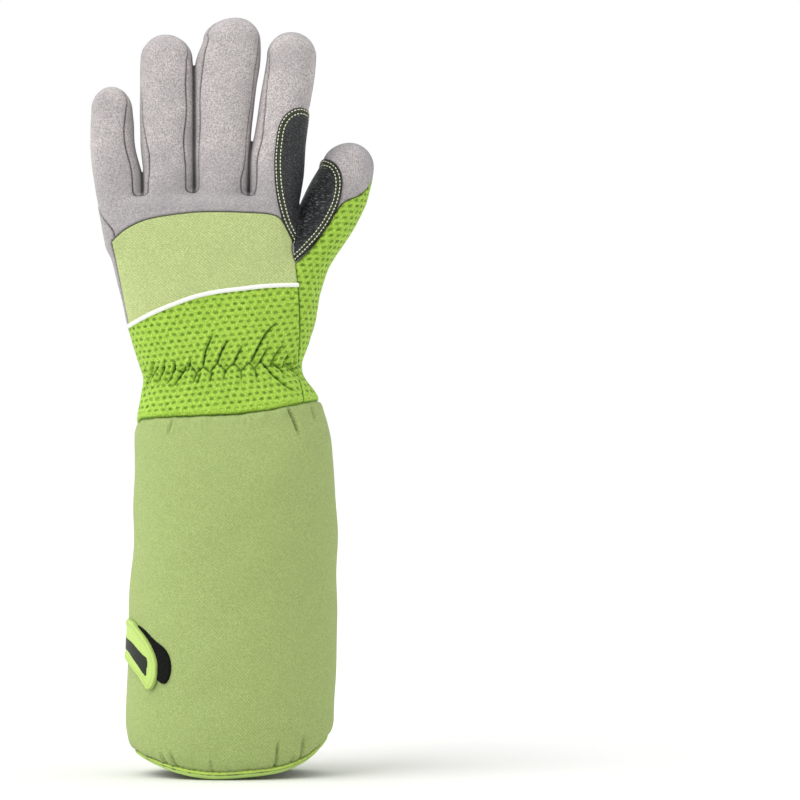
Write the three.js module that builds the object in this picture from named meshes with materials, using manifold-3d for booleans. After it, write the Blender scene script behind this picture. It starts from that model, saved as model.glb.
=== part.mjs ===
// A long-cuffed leather gardening glove for the left hand, filled out as if worn.
// Millimetres. +Z runs to the fingertips, +X to the thumb, and the palm faces +Y.
// The origin is the middle of the gathered wrist.
import * as THREE from "three";
import { mergeVertices } from "three/addons/utils/BufferGeometryUtils.js";
import Module from "manifold-3d";

const wasm = await Module();
wasm.setup();

// Driving dimensions
const GAP = 0.3; // between neighbouring pieces
const LEATHER = 1.8; // wall of the hand, leather or mesh
const PADDING = 3.4; // wall of the quilted cuff
const PATCH = 1.3; // sewn-on leather
const PAD = 2.2; // sewn-on leather with foam under it
const PIPING = 1.1; // how far the piping stands out
const PIPING_WIDTH = 2.2;
const TAPE = 1.1; // bindings stand this far off the cloth
const HEM_TAPE = 3.6; // visible height of the hem binding
const STRAP = 2.0;
const LOOP_PILE = 1.2;
const CURL = 11; // how far the longest fingertip leans to the palm
const CURL_START = 70; // height where the fingers begin to lean
const CURL_LENGTH = 115;
const SEAM_HEIGHT = -23.5; // sleeve seam, a plane that rises to the thumb and to the back
const SEAM_RISE_X = 0.14;
const SEAM_RISE_Y = -0.17;
const THUMB_MIDDLE = 10; // depth of the thumb's side seams
const FINE = 0.05; // slivers smaller than this are dropped
const CAP_INSET = 1; // from the finger's side seam to its cap
const STRAP_FACE = 0.8; // thickness of the strap's dark middle
const PAD_POINTS = 68; // corners of the palm pad's outline
const FAR = 200; // reach of a cutting prism, past everything

// Sections of the hand: height, edges seen from the back, and the back and palm faces.
// gather is how far every other point of the ring is drawn in, where elastic or a seam puckers the cloth.
const HAND = [
  { z: -60, left: -45, right: 55, back: -31, palm: 29 },
  { z: -24, left: -43.7, right: 53, back: -29.5, palm: 27.5, gather: 0.4 },
  { z: -11, left: -42, right: 46.5, back: -26.5, palm: 25.5, gather: 1.2 },
  { z: 0, left: -40.8, right: 41, back: -25, palm: 24, gather: 1.8 },
  { z: 12, left: -43.8, right: 43.5, back: -24.5, palm: 23, gather: 0.9 },
  { z: 24, left: -48.4, right: 46, back: -22.5, palm: 21.5 },
  { z: 40, left: -53, right: 46, back: -20.5, palm: 20 },
  { z: 54, left: -56.8, right: 44, back: -19, palm: 19 },
  { z: 70, left: -60.6, right: 41.5, back: -17.5, palm: 18 },
  { z: 84, left: -63.4, right: 38.5, back: -15.5, palm: 17 },
  { z: 90, left: -64, right: 37.5, back: -12.5, palm: 15 },
  { z: 94, left: -62, right: 36, back: -7, palm: 10.5 },
];

// Sections of the fingers, ending in a rounded tip. depth is the thickness from back to palm.
const FINGERS = {
  index: {
    depth: 25,
    tip: { x: 37.4, z: 176.3 },
    sections: [
      { z: 74, left: 16, right: 38.5 },
      { z: 95, left: 16.6, right: 39.6 },
      { z: 107, left: 17.6, right: 41.2 },
      { z: 130, left: 19.8, right: 45 },
      { z: 148, left: 22.3, right: 47.8 },
      { z: 163, left: 24.6, right: 48.9 },
    ],
  },
  middle: {
    depth: 26,
    tip: { x: 4.9, z: 184.6 },
    sections: [
      { z: 74, left: -13.6, right: 14 },
      { z: 95, left: -13.2, right: 14.2 },
      { z: 113, left: -13.2, right: 15 },
      { z: 130, left: -13.2, right: 17 },
      { z: 150, left: -13, right: 18.6 },
      { z: 169, left: -12, right: 19.2 },
    ],
  },
  ring: {
    depth: 25,
    tip: { x: -29.3, z: 175.3 },
    sections: [
      { z: 74, left: -42, right: -16 },
      { z: 95, left: -42.2, right: -15.6 },
      { z: 120, left: -42.6, right: -15.8 },
      { z: 147, left: -43, right: -15.8 },
      { z: 161, left: -42.4, right: -16.2 },
    ],
  },
  little: {
    depth: 22,
    tip: { x: -57.2, z: 147.2 },
    sections: [
      { z: 74, left: -60.5, right: -43.5 },
      { z: 84, left: -63.4, right: -43.8 },
      { z: 96, left: -66, right: -44.2 },
      { z: 113, left: -67.3, right: -45.4 },
      { z: 126, left: -68, right: -46.4 },
      { z: 135, left: -67.6, right: -47 },
    ],
  },
};

// Sections of the thumb, which stands forward of the palm
const THUMB = {
  tip: { x: 66.8, y: 13, z: 119.4 },
  sections: [
    { z: -4, left: 14, right: 40.5, back: -8, palm: 18 },
    { z: 12, left: 16, right: 44, back: -10, palm: 21.5 },
    { z: 28, left: 20, right: 48, back: -11, palm: 24 },
    { z: 42, left: 24, right: 51.4, back: -11, palm: 25.5 },
    { z: 53, left: 28, right: 56, back: -10, palm: 26.5 },
    { z: 63, left: 31.5, right: 62.5, back: -8.5, palm: 27 },
    { z: 75, left: 35.5, right: 70.5, back: -6, palm: 27.5 },
    { z: 88, left: 41.5, right: 76, back: -3.5, palm: 28 },
    { z: 99, left: 46.8, right: 78.8, back: -1.5, palm: 28 },
    { z: 106, left: 50.5, right: 79.2, back: 0, palm: 27.5 },
  ],
};

// Sections of the cuff: puffed under the sleeve seam, drawn in at the hem
const CUFF = [
  { z: -230, left: -43.5, right: 49, back: -34, palm: 33 },
  { z: -206, left: -44.5, right: 50.5, back: -37, palm: 36, gather: 0.8 },
  { z: -197, left: -46, right: 53, back: -39.5, palm: 38.5, gather: 0.8 },
  { z: -184, left: -49, right: 57.5, back: -42.5, palm: 41.5 },
  { z: -162, left: -49.4, right: 59.6, back: -44.5, palm: 43.5 },
  { z: -122, left: -47.8, right: 60, back: -45, palm: 44 },
  { z: -82, left: -46, right: 59.8, back: -44, palm: 43 },
  { z: -52, left: -45.4, right: 58.6, back: -41, palm: 40.5 },
  { z: -36, left: -44.6, right: 56.4, back: -36.5, palm: 36, gather: 0.7 },
  { z: -24, left: -43.4, right: 53, back: -30.5, palm: 29.5, gather: 0.7 },
  { z: -8, left: -42, right: 49, back: -27, palm: 26 },
];

// Lower edge of the cuff seen from the back: it dips in the middle of both faces
const HEM = { side: -196.5, dip: 10.5, centre: 4, reach: 50 };

// Side slit on the little-finger side. s runs round the cuff from that side's middle to the back.
const SLIT = { s: -9.5, top: -124, bottom: -174, width: 1.6 };
const SLIT_TAPE_WIDTH = 3;
const WRAP_ANGLE = 20; // degrees round from the side, the way the strap's outlines are cut
const STRAP_OUTLINE = [
  { s: -8, z: -119 }, { s: 29, z: -145 }, { s: 33, z: -150 }, { s: 33.5, z: -160 },
  { s: 31, z: -165.5 }, { s: 26, z: -166.5 }, { s: 20, z: -162 }, { s: -8, z: -143 },
];
const STRAP_CENTRE_OUTLINE = [
  { s: -4, z: -127.5 }, { s: 26, z: -149 }, { s: 26, z: -158.5 }, { s: -4, z: -138.5 },
];
const LOOP_OUTLINE = [
  { s: 4, z: -124 }, { s: 24, z: -135 }, { s: 34, z: -142 }, { s: 40.5, z: -147 },
  { s: 43, z: -153 }, { s: 42, z: -160 }, { s: 38, z: -164 }, { s: 30, z: -161 },
  { s: 18, z: -153 }, { s: 4, z: -144 },
];

// Outlines seen from the back, as x and z
const KNUCKLE_TOP = [
  [-57, 66.5], [-49, 73], [-39, 77.5], [-26, 80], [-12, 81.5], [9.5, 81.5], [29, 79.5],
  [34.5, 74], [38, 67], [39.5, 57], [40.5, 44.5],
];
const PIPING_LINE = [[40.5, 44.5], [25, 44], [9.5, 43], [-5, 41.5], [-19, 38], [-33.5, 32], [-48, 23]];
const WRIST_SIDE_SEAM = [[40.5, 44.5], [41, 30], [41, 15], [40, 0], [42.5, -11], [46, -30]];
const THUMB_MESH_TOP = [[40.5, 56], [48, 65], [57, 79], [63.5, 87], [72, 91], [80, 99]];
const INDEX_PATCH_BACK = [
  [62, 108], [45, 134.5], [40, 136], [34, 133], [30, 127], [28, 116], [27.5, 104.5], [28.5, 91],
  [32, 76.5], [37, 66.5], [38.5, 83],
];
const THUMB_PATCH_BACK = [
  [38.5, 83], [52, 108.5], [59, 107], [62.5, 100], [61.5, 88.5], [56.5, 76.5], [49, 66], [40.5, 57.5],
  [38.5, 66],
];

// Outlines on the palm side, in the same x and z
const THUMB_MESH_PALM = [
  [82, 108], [73, 83], [63, 61.5], [52.5, 46], [45, 29], [37, 12], [27, -1.5], [20, -30],
];
const WRIST_MESH_PALM = { left: -37, top: -8 };
const THUMB_FOLD = [
  [60, 125], [48.5, 108], [45, 91], [40.5, 79.5], [33.5, 65], [31, 51.5], [31, 23.5], [27.5, 11.5],
  [24.5, -1.5],
];
const PALM_PAD = [
  [32, 76], [29.5, 81.5], [23.5, 85.5], [16, 86], [12.5, 91], [5, 97], [-2, 91], [-8, 80], [-14, 88.5],
  [-19, 92.5], [-25, 88], [-28.5, 78], [-33, 76], [-39, 81], [-46.5, 86.5], [-53.5, 81], [-54, 67],
  [-48, 58], [-31, 57.5], [-16, 58.5], [-30, 53.5], [-41, 48], [-46.5, 37], [-45, 21.5], [-38, 6],
  [-29, -4.5], [-19, -7], [-11, 0.5], [-7.5, 13.5], [-4, 29], [2.5, 44], [9, 53.5], [17, 61.5],
  [29.5, 68.5],
];
const THENAR_PAD = [
  [33, 64], [27, 66], [21, 62.5], [13.5, 55.5], [6.5, 48], [2, 40], [-0.5, 30], [-2, 19], [0.5, 10],
  [6.5, 6], [14, 7], [22, 13.5], [27, 22], [29.5, 34], [29.5, 48],
];
const INDEX_PATCH_PALM = [
  [62, 124], [49.5, 124], [43.5, 119.5], [38.5, 113.5], [36.5, 102], [36.5, 66], [40, 66],
];
const THUMB_PATCH_PALM = [[40, 66], [44, 81.5], [48.5, 90.5], [50, 99], [49, 107], [40, 100], [36, 80]];
// Lower edges of the fingertip caps, from the thumb's side to the little finger's
const CAP_LINES = {
  index: [[60, 132], [25, 134.5]],
  middle: [[24, 147.5], [-15, 147.5]],
  ring: [[-14, 138], [-46, 136.5]],
  little: [[-44, 114.5], [-72, 110.5]],
};

// Side strips between fingers: their reach along x, their lower and upper ends and their width in depth
const FOURCHETTES = [
  { name: "fourchette_index_middle", from: 4, to: 32, bottom: 86, top: 166, width: 13 },
  { name: "fourchette_middle_ring", from: -29, to: 3, bottom: 86, top: 166, width: 13 },
  { name: "fourchette_ring_little", from: -56, to: -30, bottom: 84, top: 140, width: 12 },
];

// How a side strip narrows to its ends: place along it, and share of its width
const STRIP_TAPER = [
  { along: 0, share: 0.3 }, { along: 0.25, share: 1 }, { along: 0.5, share: 1 },
  { along: 0.75, share: 1 }, { along: 0.92, share: 0.7 }, { along: 1, share: 0.15 },
];

// Smooth curves through a few points
function smooth(points, count, closed = false) {
  const route = points.map(([x, z]) => new THREE.Vector3(x, 0, z));
  const curve = new THREE.CatmullRomCurve3(route, closed, "centripetal");
  const samples = curve.getSpacedPoints(count).map((p) => [p.x, p.z]);
  if (closed) samples.pop();
  return samples;
}

function curlAt(z) {
  const along = Math.max(0, z - CURL_START) / CURL_LENGTH;
  return CURL * along * along;
}

// Solids from closed geometries
function solid(geometry) {
  const bare = new THREE.BufferGeometry();
  bare.setAttribute("position", geometry.getAttribute("position"));
  if (geometry.index) bare.setIndex(geometry.index);
  const merged = mergeVertices(bare, 1e-4);
  const vertProperties = new Float32Array(merged.getAttribute("position").array);
  const triVerts = new Uint32Array(merged.index.array);
  return new wasm.Manifold(new wasm.Mesh({ numProp: 3, vertProperties, triVerts }));
}

function ringOf(section, sides, roundness) {
  const centre = new THREE.Vector2((section.left + section.right) / 2, (section.back + section.palm) / 2);
  const half = new THREE.Vector2((section.right - section.left) / 2, (section.palm - section.back) / 2);
  const ring = [];
  for (let i = 0; i < sides; i += 1) {
    const angle = (2 * Math.PI * (i + 0.5)) / sides;
    const c = Math.cos(angle);
    const s = Math.sin(angle);
    const x = Math.sign(c) * Math.abs(c) ** (2 / roundness);
    const y = Math.sign(s) * Math.abs(s) ** (2 / roundness);
    const drawn = (i % 2) * (section.gather ?? 0);
    ring.push([centre.x + (half.x - drawn) * x, centre.y + (half.y - drawn) * y, section.z]);
  }
  return ring;
}

function loft(sections, sides, roundness) {
  const positions = sections.flatMap((section) => ringOf(section, sides, roundness)).flat();
  const last = sections.length - 1;
  const bottom = sections.length * sides;
  const top = bottom + 1;
  for (const section of [sections[0], sections[last]]) {
    positions.push((section.left + section.right) / 2, (section.back + section.palm) / 2, section.z);
  }
  const faces = [];
  for (let i = 0; i < sides; i += 1) {
    const next = (i + 1) % sides;
    for (let k = 0; k < last; k += 1) {
      const low = k * sides;
      const high = low + sides;
      faces.push(low + i, low + next, high + next, low + i, high + next, high + i);
    }
    faces.push(bottom, next, i, top, last * sides + i, last * sides + next);
  }
  const geometry = new THREE.BufferGeometry();
  geometry.setAttribute("position", new THREE.Float32BufferAttribute(positions, 3));
  geometry.setIndex(faces);
  return solid(geometry);
}

function grown(section, offset) {
  return {
    ...section,
    left: section.left - offset,
    right: section.right + offset,
    back: section.back - offset,
    palm: section.palm + offset,
  };
}

// Adds the rounded end of a finger above its last section
function withTip(sections, tip, offset) {
  const start = sections[sections.length - 1];
  const height = tip.z - start.z + offset;
  const rounded = [28, 56, 78].map((degrees) => {
    const angle = (degrees * Math.PI) / 180;
    const size = Math.cos(angle);
    const middle = (a, b, c) => (a + b) / 2 * size + c * (1 - size);
    const x = middle(start.left, start.right, tip.x);
    const y = middle(start.back, start.palm, tip.y);
    const halfX = ((start.right - start.left) / 2) * size;
    const halfY = ((start.palm - start.back) / 2) * size;
    const z = start.z + height * Math.sin(angle);
    return { z, left: x - halfX, right: x + halfX, back: y - halfY, palm: y + halfY };
  });
  return [...sections, ...rounded];
}

function fingerSections(finger, offset) {
  const rows = finger.sections.map((row) => {
    const middle = curlAt(row.z);
    return grown({ ...row, back: middle - finger.depth / 2, palm: middle + finger.depth / 2 }, offset);
  });
  return withTip(rows, { x: finger.tip.x, y: curlAt(finger.tip.z), z: finger.tip.z }, offset);
}

function handSolid(offset) {
  const body = HAND.map((row) => grown(row, offset));
  body[body.length - 1].z += offset;
  let hand = loft(body, 24, 2.5);
  for (const finger of Object.values(FINGERS)) {
    hand = hand.add(loft(fingerSections(finger, offset), 12, 2.3));
  }
  const thumb = withTip(THUMB.sections.map((row) => grown(row, offset)), THUMB.tip, offset);
  return hand.add(loft(thumb, 14, 2.3));
}

function cuffSolid(offset) {
  return loft(CUFF.map((row) => grown(row, offset)), 32, 2.15);
}

// Cutting prisms
function prism(points, depth) {
  const shape = new THREE.Shape(points.map(([x, y]) => new THREE.Vector2(x, y)));
  return new THREE.ExtrudeGeometry(shape, { depth, bevelEnabled: false, steps: 1 });
}

function alongY(points, from, to) {
  const geometry = prism(points, to - from);
  geometry.applyMatrix4(new THREE.Matrix4().set(1, 0, 0, 0, 0, 0, -1, to, 0, 1, 0, 0, 0, 0, 0, 1));
  return solid(geometry);
}

function alongX(points, from, to) {
  const geometry = prism(points, to - from);
  geometry.applyMatrix4(new THREE.Matrix4().set(0, 0, 1, from, 1, 0, 0, 0, 0, 1, 0, 0, 0, 0, 0, 1));
  return solid(geometry);
}

const behind = (points, middle = 0) => alongY(points, -FAR, middle);
const before = (points, middle = 0) => alongY(points, middle, FAR);

// Widens a closed outline by a distance
function widened(points, distance) {
  const area = THREE.ShapeUtils.area(points.map(([x, y]) => new THREE.Vector2(x, y)));
  const outward = Math.sign(area) * distance;
  return points.map((point, i) => {
    const last = points[(i + points.length - 1) % points.length];
    const next = points[(i + 1) % points.length];
    const arrive = new THREE.Vector2(point[0] - last[0], point[1] - last[1]).normalize();
    const leave = new THREE.Vector2(next[0] - point[0], next[1] - point[1]).normalize();
    const turn = new THREE.Vector2(arrive.y + leave.y, -arrive.x - leave.x).normalize();
    const stretch = Math.max(0.5, turn.x * arrive.y - turn.y * arrive.x);
    return [point[0] + (turn.x * outward) / stretch, point[1] + (turn.y * outward) / stretch];
  });
}

// Everything on one side of the sleeve seam, some way off it
function seamSide(side, offset) {
  const box = new THREE.BoxGeometry(3 * FAR, 3 * FAR, 2 * FAR);
  box.translate(0, 0, side * FAR);
  const normal = new THREE.Vector3(-SEAM_RISE_X, -SEAM_RISE_Y, 1).normalize();
  const turn = new THREE.Quaternion().setFromUnitVectors(new THREE.Vector3(0, 0, 1), normal);
  box.applyQuaternion(turn);
  box.translate(0, 0, SEAM_HEIGHT + side * offset);
  return solid(box);
}

const aboveSeam = () => seamSide(1, GAP / 2);
const belowSeam = () => seamSide(-1, GAP / 2);

function largest(piece) {
  const bodies = piece.simplify(FINE).decompose();
  return bodies.reduce((best, body) => (body.volume() > best.volume() ? body : best));
}

// Back half of hand and fingers, following their curl
function backHalf(shift) {
  const heights = [-60, 60, 90, 110, 130, 150, 170, FAR];
  const middle = heights.map((z) => [curlAt(z) + shift, z]);
  return alongX([...middle, [-FAR, FAR], [-FAR, -60]], -FAR, FAR);
}

// Pieces, cut one after another out of the hand's shell
const pieces = {};
const handOuter = handSolid(0).intersect(aboveSeam());
let rest = handOuter.subtract(handSolid(-LEATHER));

function cutOut(name, region, widerRegion) {
  pieces[name] = largest(rest.intersect(region));
  rest = rest.subtract(widerRegion);
}

function sideStrip({ from, to, bottom, top, width }, extra) {
  const edge = (side) => STRIP_TAPER.map(({ along, share }) => {
    const z = bottom - extra + (top - bottom + 2 * extra) * along;
    return [curlAt(z) + side * ((width / 2) * share + extra), z];
  });
  return alongX([...edge(-1), ...edge(1).reverse()], from, to);
}

for (const strip of FOURCHETTES) {
  cutOut(strip.name, sideStrip(strip, 0), sideStrip(strip, GAP));
}

const knuckleOutline = [...KNUCKLE_TOP, ...PIPING_LINE.slice(1)];
cutOut("knuckle_panel", behind(knuckleOutline), behind(widened(knuckleOutline, GAP)));

// A panel that wraps the thumb's side has one outline on the back and one on the palm side
function sideRegion(backOutline, palmOutline, extra) {
  const back = behind(widened(backOutline, extra), THUMB_MIDDLE);
  return back.add(before(widened(palmOutline, extra), THUMB_MIDDLE));
}

// Thumb: the mesh on its outer side, and the suede
const meshBack = [...THUMB_MESH_TOP, [FAR, 99], [FAR, -60], [46, -60], ...[...WRIST_SIDE_SEAM].reverse()];
const meshPalm = [...THUMB_MESH_PALM, [20, -60], [FAR, -60], [FAR, 108]];
cutOut(
  "thumb_mesh",
  sideRegion(meshBack, meshPalm, 0),
  sideRegion(meshBack, meshPalm, GAP)
);
const thumbPalm = [...THUMB_FOLD, ...[...THUMB_MESH_PALM].reverse().slice(1), [95, 125]];
const thumbBack = [[38.5, 83], [60, 125], [95, 125], [95, 99], ...[...THUMB_MESH_TOP].reverse(), [37, 62]];
cutOut(
  "thumb_suede",
  sideRegion(thumbBack, thumbPalm, 0),
  sideRegion(thumbBack, thumbPalm, GAP)
);

const wristBack = [
  ...PIPING_LINE, [-80, 23], [-80, -60], [46, -60], ...[...WRIST_SIDE_SEAM].reverse(),
];
const { left: cornerLeft, top: cornerTop } = WRIST_MESH_PALM;
const meshCorner = [[cornerLeft, cornerTop], [cornerLeft, -60], [-80, -60], [-80, 23]];
cutOut(
  "wrist_mesh",
  behind(wristBack).add(before(meshCorner)),
  behind(widened(wristBack, GAP)).add(before(widened(meshCorner, GAP)))
);

// The grey strip beside the knuckle panel belongs to the palm's leather
const backTop = [
  [-70, 61], ...KNUCKLE_TOP.slice(0, 8), [37, 66.5], [37, 90], [60, 125], [60, FAR], [-90, FAR], [-90, 61],
];
const backRegion = alongY(backTop, -FAR, FAR);
pieces.back_suede = largest(rest.intersect(backRegion).intersect(backHalf(-GAP / 2)));
const backWider = alongY(widened(backTop, GAP), -FAR, FAR).intersect(backHalf(GAP / 2));
pieces.palm_suede = largest(rest.subtract(backWider));

// Sewn-on pieces lie on the shell
function layer(thickness) {
  return handSolid(GAP + thickness).subtract(handSolid(GAP));
}

const patchLayer = layer(PATCH);
const padLayer = layer(PAD);
const indexPatch = (extra) => alongY(widened(INDEX_PATCH_BACK, extra), -FAR, 2 + extra)
  .add(alongY(widened(INDEX_PATCH_PALM, extra), 2 - extra, FAR));
const thumbPatch = alongY(THUMB_PATCH_BACK, -FAR, 12).add(alongY(THUMB_PATCH_PALM, 12, FAR));
pieces.index_side_patch = largest(patchLayer.intersect(indexPatch(0)));
pieces.thumb_patch = largest(patchLayer.intersect(thumbPatch).subtract(indexPatch(GAP)));
pieces.palm_pad = largest(padLayer.intersect(before(smooth(PALM_PAD, PAD_POINTS, true))));
const thenarOutline = smooth(THENAR_PAD, PAD_POINTS / 2, true);
pieces.palm_pad = largest(pieces.palm_pad.subtract(before(widened(thenarOutline, GAP))));
pieces.thenar_pad = largest(padLayer.intersect(before(thenarOutline)));
for (const [finger, [right, left]] of Object.entries(CAP_LINES)) {
  const outline = [right, left, [left[0], FAR], [right[0], FAR]];
  const upper = alongY(outline, -FAR, FAR).subtract(backHalf(CAP_INSET));
  pieces[`cap_${finger}`] = largest(patchLayer.intersect(upper));
}
const pipingBand = [
  ...PIPING_LINE.map(([x, z]) => [x, z + PIPING_WIDTH / 2]),
  ...[...PIPING_LINE].reverse().map(([x, z]) => [x, z - PIPING_WIDTH / 2]),
];
pieces.piping = largest(layer(PIPING).intersect(behind(pipingBand)));

// Cuff, open at both ends and slit on the little-finger side
function hemLine(x) {
  const along = Math.min(1, Math.abs(x - HEM.centre) / HEM.reach);
  return HEM.side - HEM.dip * Math.sqrt(1 - along * along);
}

function aboveHem(offset) {
  const steps = [-60, -46, -43, -38, -30, -20, -8, 4, 16, 28, 38, 46, 51, 54, 70];
  const line = steps.map((x) => [x, hemLine(x) + offset]);
  return alongY([...line, [70, 60], [-60, 60]], -FAR, FAR);
}

const cuffOuter = cuffSolid(0).intersect(belowSeam());
const cuffShell = cuffOuter.intersect(aboveHem(HEM_TAPE)).subtract(cuffSolid(-PADDING));
const bindingRing = cuffSolid(TAPE).intersect(aboveHem(0)).subtract(aboveHem(HEM_TAPE - GAP));
pieces.hem_binding = largest(bindingRing.subtract(cuffSolid(-PADDING - TAPE)));

// Point on the cuff, s millimetres round from its little-finger side at height z
function cuffPoint(s, z) {
  const above = CUFF.findIndex((row) => row.z >= z);
  const [low, high] = [CUFF[above - 1], CUFF[above]];
  const t = (z - low.z) / (high.z - low.z);
  const at = (key) => low[key] + (high[key] - low[key]) * t;
  const centre = new THREE.Vector2((at("left") + at("right")) / 2, (at("back") + at("palm")) / 2);
  const half = new THREE.Vector2((at("right") - at("left")) / 2, (at("palm") - at("back")) / 2);
  const angle = s / half.y;
  return new THREE.Vector3(centre.x - half.x * Math.cos(angle), centre.y - half.y * Math.sin(angle), z);
}

// A prism through the cuff's side, cut along the strap's own direction
function sidePrism(outline) {
  const angle = (WRAP_ANGLE * Math.PI) / 180;
  const across = new THREE.Vector3(Math.sin(angle), -Math.cos(angle), 0);
  const outward = new THREE.Vector3(-Math.cos(angle), -Math.sin(angle), 0);
  const points = outline.map(({ s, z }) => [cuffPoint(s, z).dot(across), z]);
  const geometry = prism(points, FAR);
  const basis = new THREE.Matrix4().makeBasis(across, new THREE.Vector3(0, 0, 1), outward);
  if (basis.determinant() < 0) throw new Error("the strap's directions must be right-handed");
  geometry.applyMatrix4(basis);
  return solid(geometry);
}

const slitOutline = [
  { s: SLIT.s, z: SLIT.top }, { s: SLIT.s + SLIT.width, z: (SLIT.top + SLIT.bottom) / 2 },
  { s: SLIT.s, z: SLIT.bottom }, { s: SLIT.s - SLIT.width, z: (SLIT.top + SLIT.bottom) / 2 },
];
pieces.gauntlet = largest(cuffShell.subtract(sidePrism(slitOutline)));

function cuffLayer(from, thickness) {
  return cuffSolid(from + thickness).subtract(cuffSolid(from));
}

const slitTape = [
  { s: SLIT.s - 1, z: SLIT.top }, { s: SLIT.s - 1.6, z: SLIT.bottom },
  { s: SLIT.s - SLIT_TAPE_WIDTH - 1, z: SLIT.bottom }, { s: SLIT.s - SLIT_TAPE_WIDTH - 1, z: SLIT.top },
];
pieces.slit_binding = largest(cuffLayer(GAP, TAPE).intersect(sidePrism(slitTape)));
const loopHeight = GAP + LOOP_PILE + GAP;
pieces.loop_patch = largest(cuffLayer(GAP, LOOP_PILE).intersect(sidePrism(LOOP_OUTLINE)));
const strapCentre = sidePrism(STRAP_CENTRE_OUTLINE);
pieces.strap_tab = largest(cuffLayer(loopHeight, STRAP).intersect(sidePrism(STRAP_OUTLINE)));
pieces.strap_centre = largest(cuffLayer(loopHeight + STRAP + GAP, STRAP_FACE).intersect(strapCentre));

// Finishes
const suede = { color: 0xb9b3b3, roughness: 0.95, metalness: 0 };
const grained = { color: 0x3c3c3e, roughness: 0.5, metalness: 0 };
const twill = { color: 0xb8ca86, roughness: 0.9, metalness: 0 };
const mesh = { color: 0x9ccb48, roughness: 0.85, metalness: 0 };
const tape = { color: 0xb9e070, roughness: 0.7, metalness: 0 };
const pale = { color: 0xe8ecdf, roughness: 0.7, metalness: 0 };
const webbing = { color: 0x2c312b, roughness: 0.8, metalness: 0 };
const FINISHES = {
  back_suede: suede, palm_suede: suede, thumb_suede: suede, fourchette_index_middle: suede,
  fourchette_middle_ring: suede, fourchette_ring_little: suede, cap_index: grained, cap_middle: grained,
  cap_ring: grained, cap_little: grained, index_side_patch: grained, thumb_patch: grained,
  palm_pad: grained, thenar_pad: grained, knuckle_panel: twill, piping: pale, wrist_mesh: mesh,
  thumb_mesh: mesh, gauntlet: twill, hem_binding: tape, slit_binding: tape, strap_tab: tape,
  strap_centre: webbing, loop_patch: webbing,
};

function meshOf(name, piece) {
  const { vertProperties, triVerts, numProp } = piece.getMesh();
  if (numProp !== 3) throw new Error("a piece holds positions only");
  const geometry = new THREE.BufferGeometry();
  geometry.setAttribute("position", new THREE.Float32BufferAttribute(vertProperties, 3));
  geometry.setIndex(Array.from(triVerts));
  geometry.computeVertexNormals();
  const body = new THREE.Mesh(geometry, new THREE.MeshStandardMaterial(FINISHES[name]));
  body.name = name;
  return body;
}

const glove = new THREE.Group();
glove.name = "gardening_glove";
for (const [name, piece] of Object.entries(pieces)) {
  glove.add(meshOf(name, piece));
}

export default glove;
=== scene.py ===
# A long-cuffed leather gardening glove for the left hand, dressed over its frame and filled out as if worn.
# Sizes are in millimetres until a mesh is made. +Z runs to the fingertips, +X to the thumb, and the palm
# faces +Y.
import math

import bpy
import numpy as np
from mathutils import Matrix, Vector
from mathutils.kdtree import KDTree


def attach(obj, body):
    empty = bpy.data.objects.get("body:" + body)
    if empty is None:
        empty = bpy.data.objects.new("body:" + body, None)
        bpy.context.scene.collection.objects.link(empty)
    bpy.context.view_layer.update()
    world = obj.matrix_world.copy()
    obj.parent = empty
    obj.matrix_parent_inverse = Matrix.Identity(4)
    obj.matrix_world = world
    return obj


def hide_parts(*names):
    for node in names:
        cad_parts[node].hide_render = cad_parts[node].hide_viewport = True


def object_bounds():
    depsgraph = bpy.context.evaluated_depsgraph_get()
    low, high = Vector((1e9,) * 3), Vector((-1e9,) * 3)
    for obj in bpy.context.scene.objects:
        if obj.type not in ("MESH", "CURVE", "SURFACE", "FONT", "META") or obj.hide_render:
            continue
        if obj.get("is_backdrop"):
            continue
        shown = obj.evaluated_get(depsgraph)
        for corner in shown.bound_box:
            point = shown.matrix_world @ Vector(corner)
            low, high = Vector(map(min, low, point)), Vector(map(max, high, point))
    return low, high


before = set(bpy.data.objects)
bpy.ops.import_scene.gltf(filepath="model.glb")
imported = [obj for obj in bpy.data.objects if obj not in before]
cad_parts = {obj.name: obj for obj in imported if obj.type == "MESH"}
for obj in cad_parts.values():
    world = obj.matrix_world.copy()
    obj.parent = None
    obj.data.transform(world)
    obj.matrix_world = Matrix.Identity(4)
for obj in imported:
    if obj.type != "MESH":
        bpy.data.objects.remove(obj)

bl_info = {
    "name": "Leather gardening glove",
    "version": (1, 0, 0),
    "blender": (4, 5, 0),
    "location": "3D View > Sidebar > Glove",
    "description": "Sews a gardening glove over its packed frame and sets the studio",
    "category": "Add Mesh",
}

CAD_BOX = [list(corner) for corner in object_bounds()]
MM = 0.001
WEAVE_MAP = "cloth_mm"
# The attribute that holds painted shade in seams, creases, folds and between fingers
FOLD_SHADE_MARK = "fold"
BAND_MARK = "stitch_band"

# Sections of the hand: height, then the edges seen from the back, and the back and palm faces
HAND = [
    (-60, -45, 55, -31, 29), (-24, -43.7, 53.6, -29.5, 27.5), (-16, -42.2, 51.2, -27.6, 26),
    (-11, -41.8, 48.8, -26.5, 25.5), (-5, -40.5, 43.4, -25.6, 24.7), (0, -42.2, 39.4, -25, 24),
    (6, -44.2, 40.2, -24.8, 23.6), (12, -46.2, 42.6, -24.5, 23), (24, -49.2, 46.4, -22.5, 21.5),
    (40, -53.2, 46, -20.5, 20), (54, -56.4, 44, -19, 19), (70, -60.8, 41.5, -17.5, 18),
    (84, -63.8, 38.5, -15.5, 17), (98, -65, 37, -14, 15.5),
]
HAND_TOP = 84
HAND_DOME = 9.5
HAND_ROUNDNESS = 2.5
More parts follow.
